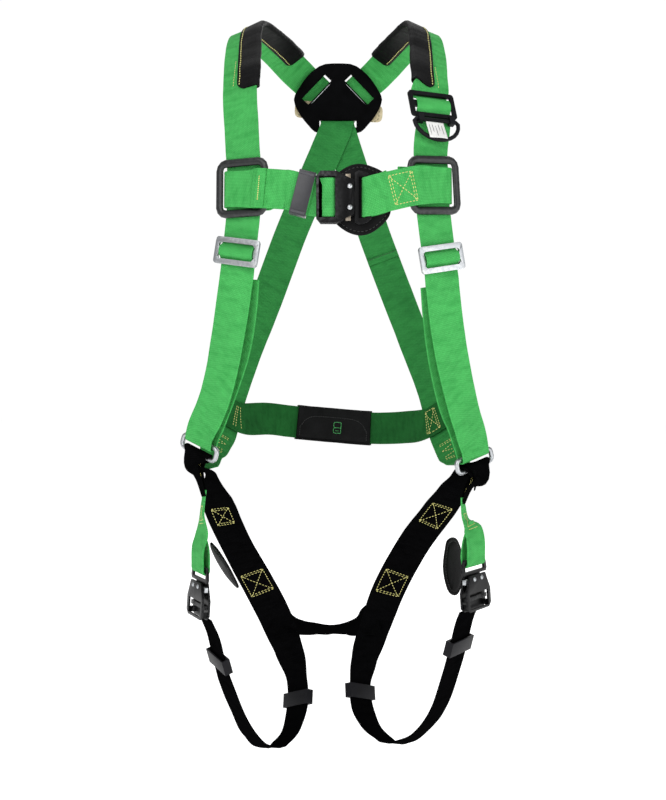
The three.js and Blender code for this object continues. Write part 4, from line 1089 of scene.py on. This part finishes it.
def widen_slide(bm):
    """A slide's ends and sides moved out a little, and its corners rounded."""
    bmesh.ops.dissolve_limit(bm, angle_limit=0.01, verts=bm.verts, edges=bm.edges)
    thick = max(bm.faces, key=lambda f: f.calc_area()).normal.copy()
    centre = sum((v.co for v in bm.verts), Vector()) / len(bm.verts)
    sides = {e: e.verts[1].co - e.verts[0].co for e in bm.edges}
    long_way = max(sides.values(), key=lambda x: x.length).normalized()
    posts = [e for e, way in sides.items()
             if abs(way.normalized().dot(thick)) > 0.99 and e.calc_face_angle(0) > 1.2]
    for way, rim, push in ((long_way, 24.6 * MM, 0.8 * MM), (long_way.cross(thick), 10.4 * MM, 1.8 * MM)):
        for v in bm.verts:
            reach = (v.co - centre).dot(way)
            if abs(reach) > rim:
                v.co += way * math.copysign(push, reach)
    bevel(bm, posts, 3.8 * MM, 4, profile=0.5)


def machined(name, finish):
    """A hard part with the same shape and place as its CAD node, and the small edge radii of the real one."""
    bm = welded(name)
    turned = any(word in name for word in ROUND)
    if "chest_ring" in name:
        flat_frame(bm, 1.36, 0.75, 6 * MM)
    if name.endswith("_slide"):
        widen_slide(bm)
    if not turned:
        bevel(bm, sharp_edges(bm), 0.45 * MM, 2)
        split_faces(bm)
    reshaped(name + "_finished", bm, name, finish, 62 if turned else 38)


def dome(name, centre, out, radius, height):
    """A rivet head."""
    side = unit(np.cross(out, (0.3, 0.2, 0.9)))
    other = np.cross(out, side)
    n = 24                     # points round it
    rows = ((1.0, -0.4), (1.0, 0.1), (0.93, 0.4), (0.7, 0.75), (0.38, 0.95))
    verts = [centre + out * height * h + radius * r * (side * math.cos(t) + other * math.sin(t))
             for r, h in rows for t in np.linspace(0, 2 * math.pi, n, endpoint=False)]
    verts += [centre + out * height, centre - out * 0.4 * height]
    faces = bands(len(rows), n) + fan((len(rows) - 1) * n, n, len(verts) - 2) + fan(0, n, len(verts) - 1)
    piece(name, verts, faces, "zinc")


def leg_rivets(side):
    """The two rivet heads on the front of a leg buckle, between its release tabs."""
    front, rear = (block_axes(f"{side}_leg_buckle_{end}_tab") for end in ("front", "rear"))
    along, up_way, out = front[1:]
    middle = (front[0] + rear[0]) / 2
    face = max((points(side + "_leg_buckle_body") - middle) @ out)
    for k in (1, -1):
        spot = middle + up_way * 2 * MM + along * k * 9 * MM + out * face
        end = "front" if k * along[Y] < 0 else "rear"
        dome(f"{side}_leg_rivet_{end}", spot, out, 2.9 * MM, 1.4 * MM)


def keeper_ridges(name, body, places):
    """Low bars moulded across the front of a web keeper, near its ends."""
    co = points(name)
    middle = (co.max(axis=0) + co.min(axis=0)) / 2
    long_way, wide, deep = np.linalg.svd(co - co.mean(axis=0))[2]
    deep = deep * -math.copysign(1, deep[Y])
    face, half = max((co - middle) @ deep), max((co - middle) @ wide)
    for label, share in places:
        at = middle + long_way * share * max((co - middle) @ long_way) + deep * face
        verts = [at + long_way * a * MM + wide * b * (half - 1.2 * MM) + deep * h * MM
                 for h, t in ((-0.3, 1.6), (0.35, 1.6), (0.7, 1.1))
                 for a, b in ((-t, -1), (t, -1), (t, 1), (-t, 1))]
        piece(label, verts, bands(3, 4) + [(0, 1, 2, 3), (8, 9, 10, 11)], "grey", body, smooth=False)


def slot_edge_highlights():
    """Painted highlights, partly wear: thin bright zinc beads along the lower edges of the dorsal plate's two
    slanted slots.
    """
    highlight_beads = Sewing("slot_edge_highlights", "zinc")
    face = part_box("dorsal_plate")[0].y - 0.1 * MM
    for sign in (-1, 1):
        inner, outer = (np.array((sign * x * MM, face, z * MM)) for x, z in ((9.4, 11.4), (38.4, -18.7)))
        highlight_beads.stitch(inner, outer, np.array((0, -1, 0)), 0.5 * MM)
    highlight_beads.make()


for side in SIDES:
    leg_rivets(side)
slot_edge_highlights()
keeper_ridges("chest_strap_keeper", "chest_keeper",
              (("keeper_upper_ridge", -0.86), ("keeper_lower_ridge", 0.86)))
for name, node in NODES.items():
    finish = next((f for f, words in HARD.items() if any(w in name for w in words)), None)
    if finish and not node.hide_render:
        machined(name, finish)


# ---------------------------------------------------------------- floor, light and camera
def studio():
    floor = bpy.data.meshes.new("floor")
    low = CAD_BOX[0][2] - 0.12
    far = 30.0
    corners = [(x * far, y * far, low) for x, y in ((-1, -1), (1, -1), (1, 1), (-1, 1))]
    floor.from_pydata(corners, [], [(0, 1, 2, 3)])
    material, surface = shader("PaleFloor", Roughness=0.95, Emission_Color=(1, 1, 1, 1),
                               Emission_Strength=0.68)
    g = Graph(material)
    g.join(g.ramp(g.noise(3, 2), [(0.3, grey(0.80)), (0.7, grey(0.84))]), surface.inputs["Base Color"])
    floor.materials.append(material)
    made = bpy.data.objects.new("floor", floor)
    bpy.context.scene.collection.objects.link(made)
    world = bpy.data.worlds.new("studio")
    bpy.context.scene.world = world
    world.use_nodes = True
    tree = world.node_tree
    tree.nodes["Background"].inputs[1].default_value = 0.40
    sweep = tree.nodes.new("ShaderNodeBackground")
    sweep.inputs[1].default_value = 1.02
    seen = tree.nodes.new("ShaderNodeLightPath")
    blend = tree.nodes.new("ShaderNodeMixShader")
    for tone in (tree.nodes["Background"], sweep):
        tone.inputs[0].default_value = (1, 1, 1, 1)
    tree.links.new(seen.outputs["Is Camera Ray"], blend.inputs[0])
    tree.links.new(tree.nodes["Background"].outputs[0], blend.inputs[1])
    tree.links.new(sweep.outputs[0], blend.inputs[2])
    tree.links.new(blend.outputs[0], tree.nodes["World Output"].inputs[0])
    lights = (("key", (-1.1, -3.0, 1.2), 2.6, 52), ("fill", (2.4, -2.4, 0.0), 2.2, 24),
              ("top", (0, 0.6, 1.6), 1.5, 10), ("back", (0.8, 2.6, 0.6), 2.2, 34))
    aim = Vector((0, -0.15, -0.4))
    for name, place, size, power in lights:
        lamp = bpy.data.lights.new(name, "AREA")
        lamp.energy = power
        lamp.size = size
        thing = bpy.data.objects.new(name, lamp)
        thing.location = place
        thing.rotation_euler = (aim - Vector(place)).to_track_quat("-Z", "Y").to_euler()
        bpy.context.scene.collection.objects.link(thing)


def camera():
    """Level, square on to the wearer's front, 1.6 m in front of the dorsal ring, with a 50 mm lens."""
    data = bpy.data.cameras.new("camera")
    data.lens = 50
    data.sensor_width = 36
    made = bpy.data.objects.new("camera", data)
    made.location = (-0.007, -1.606, -0.434)
    made.rotation_euler = (math.pi / 2, 0, 0)
    bpy.context.scene.collection.objects.link(made)
    bpy.context.scene.camera = made


studio()
camera()
bpy.context.scene.view_settings.view_transform = "Standard"
bpy.context.view_layer.update()
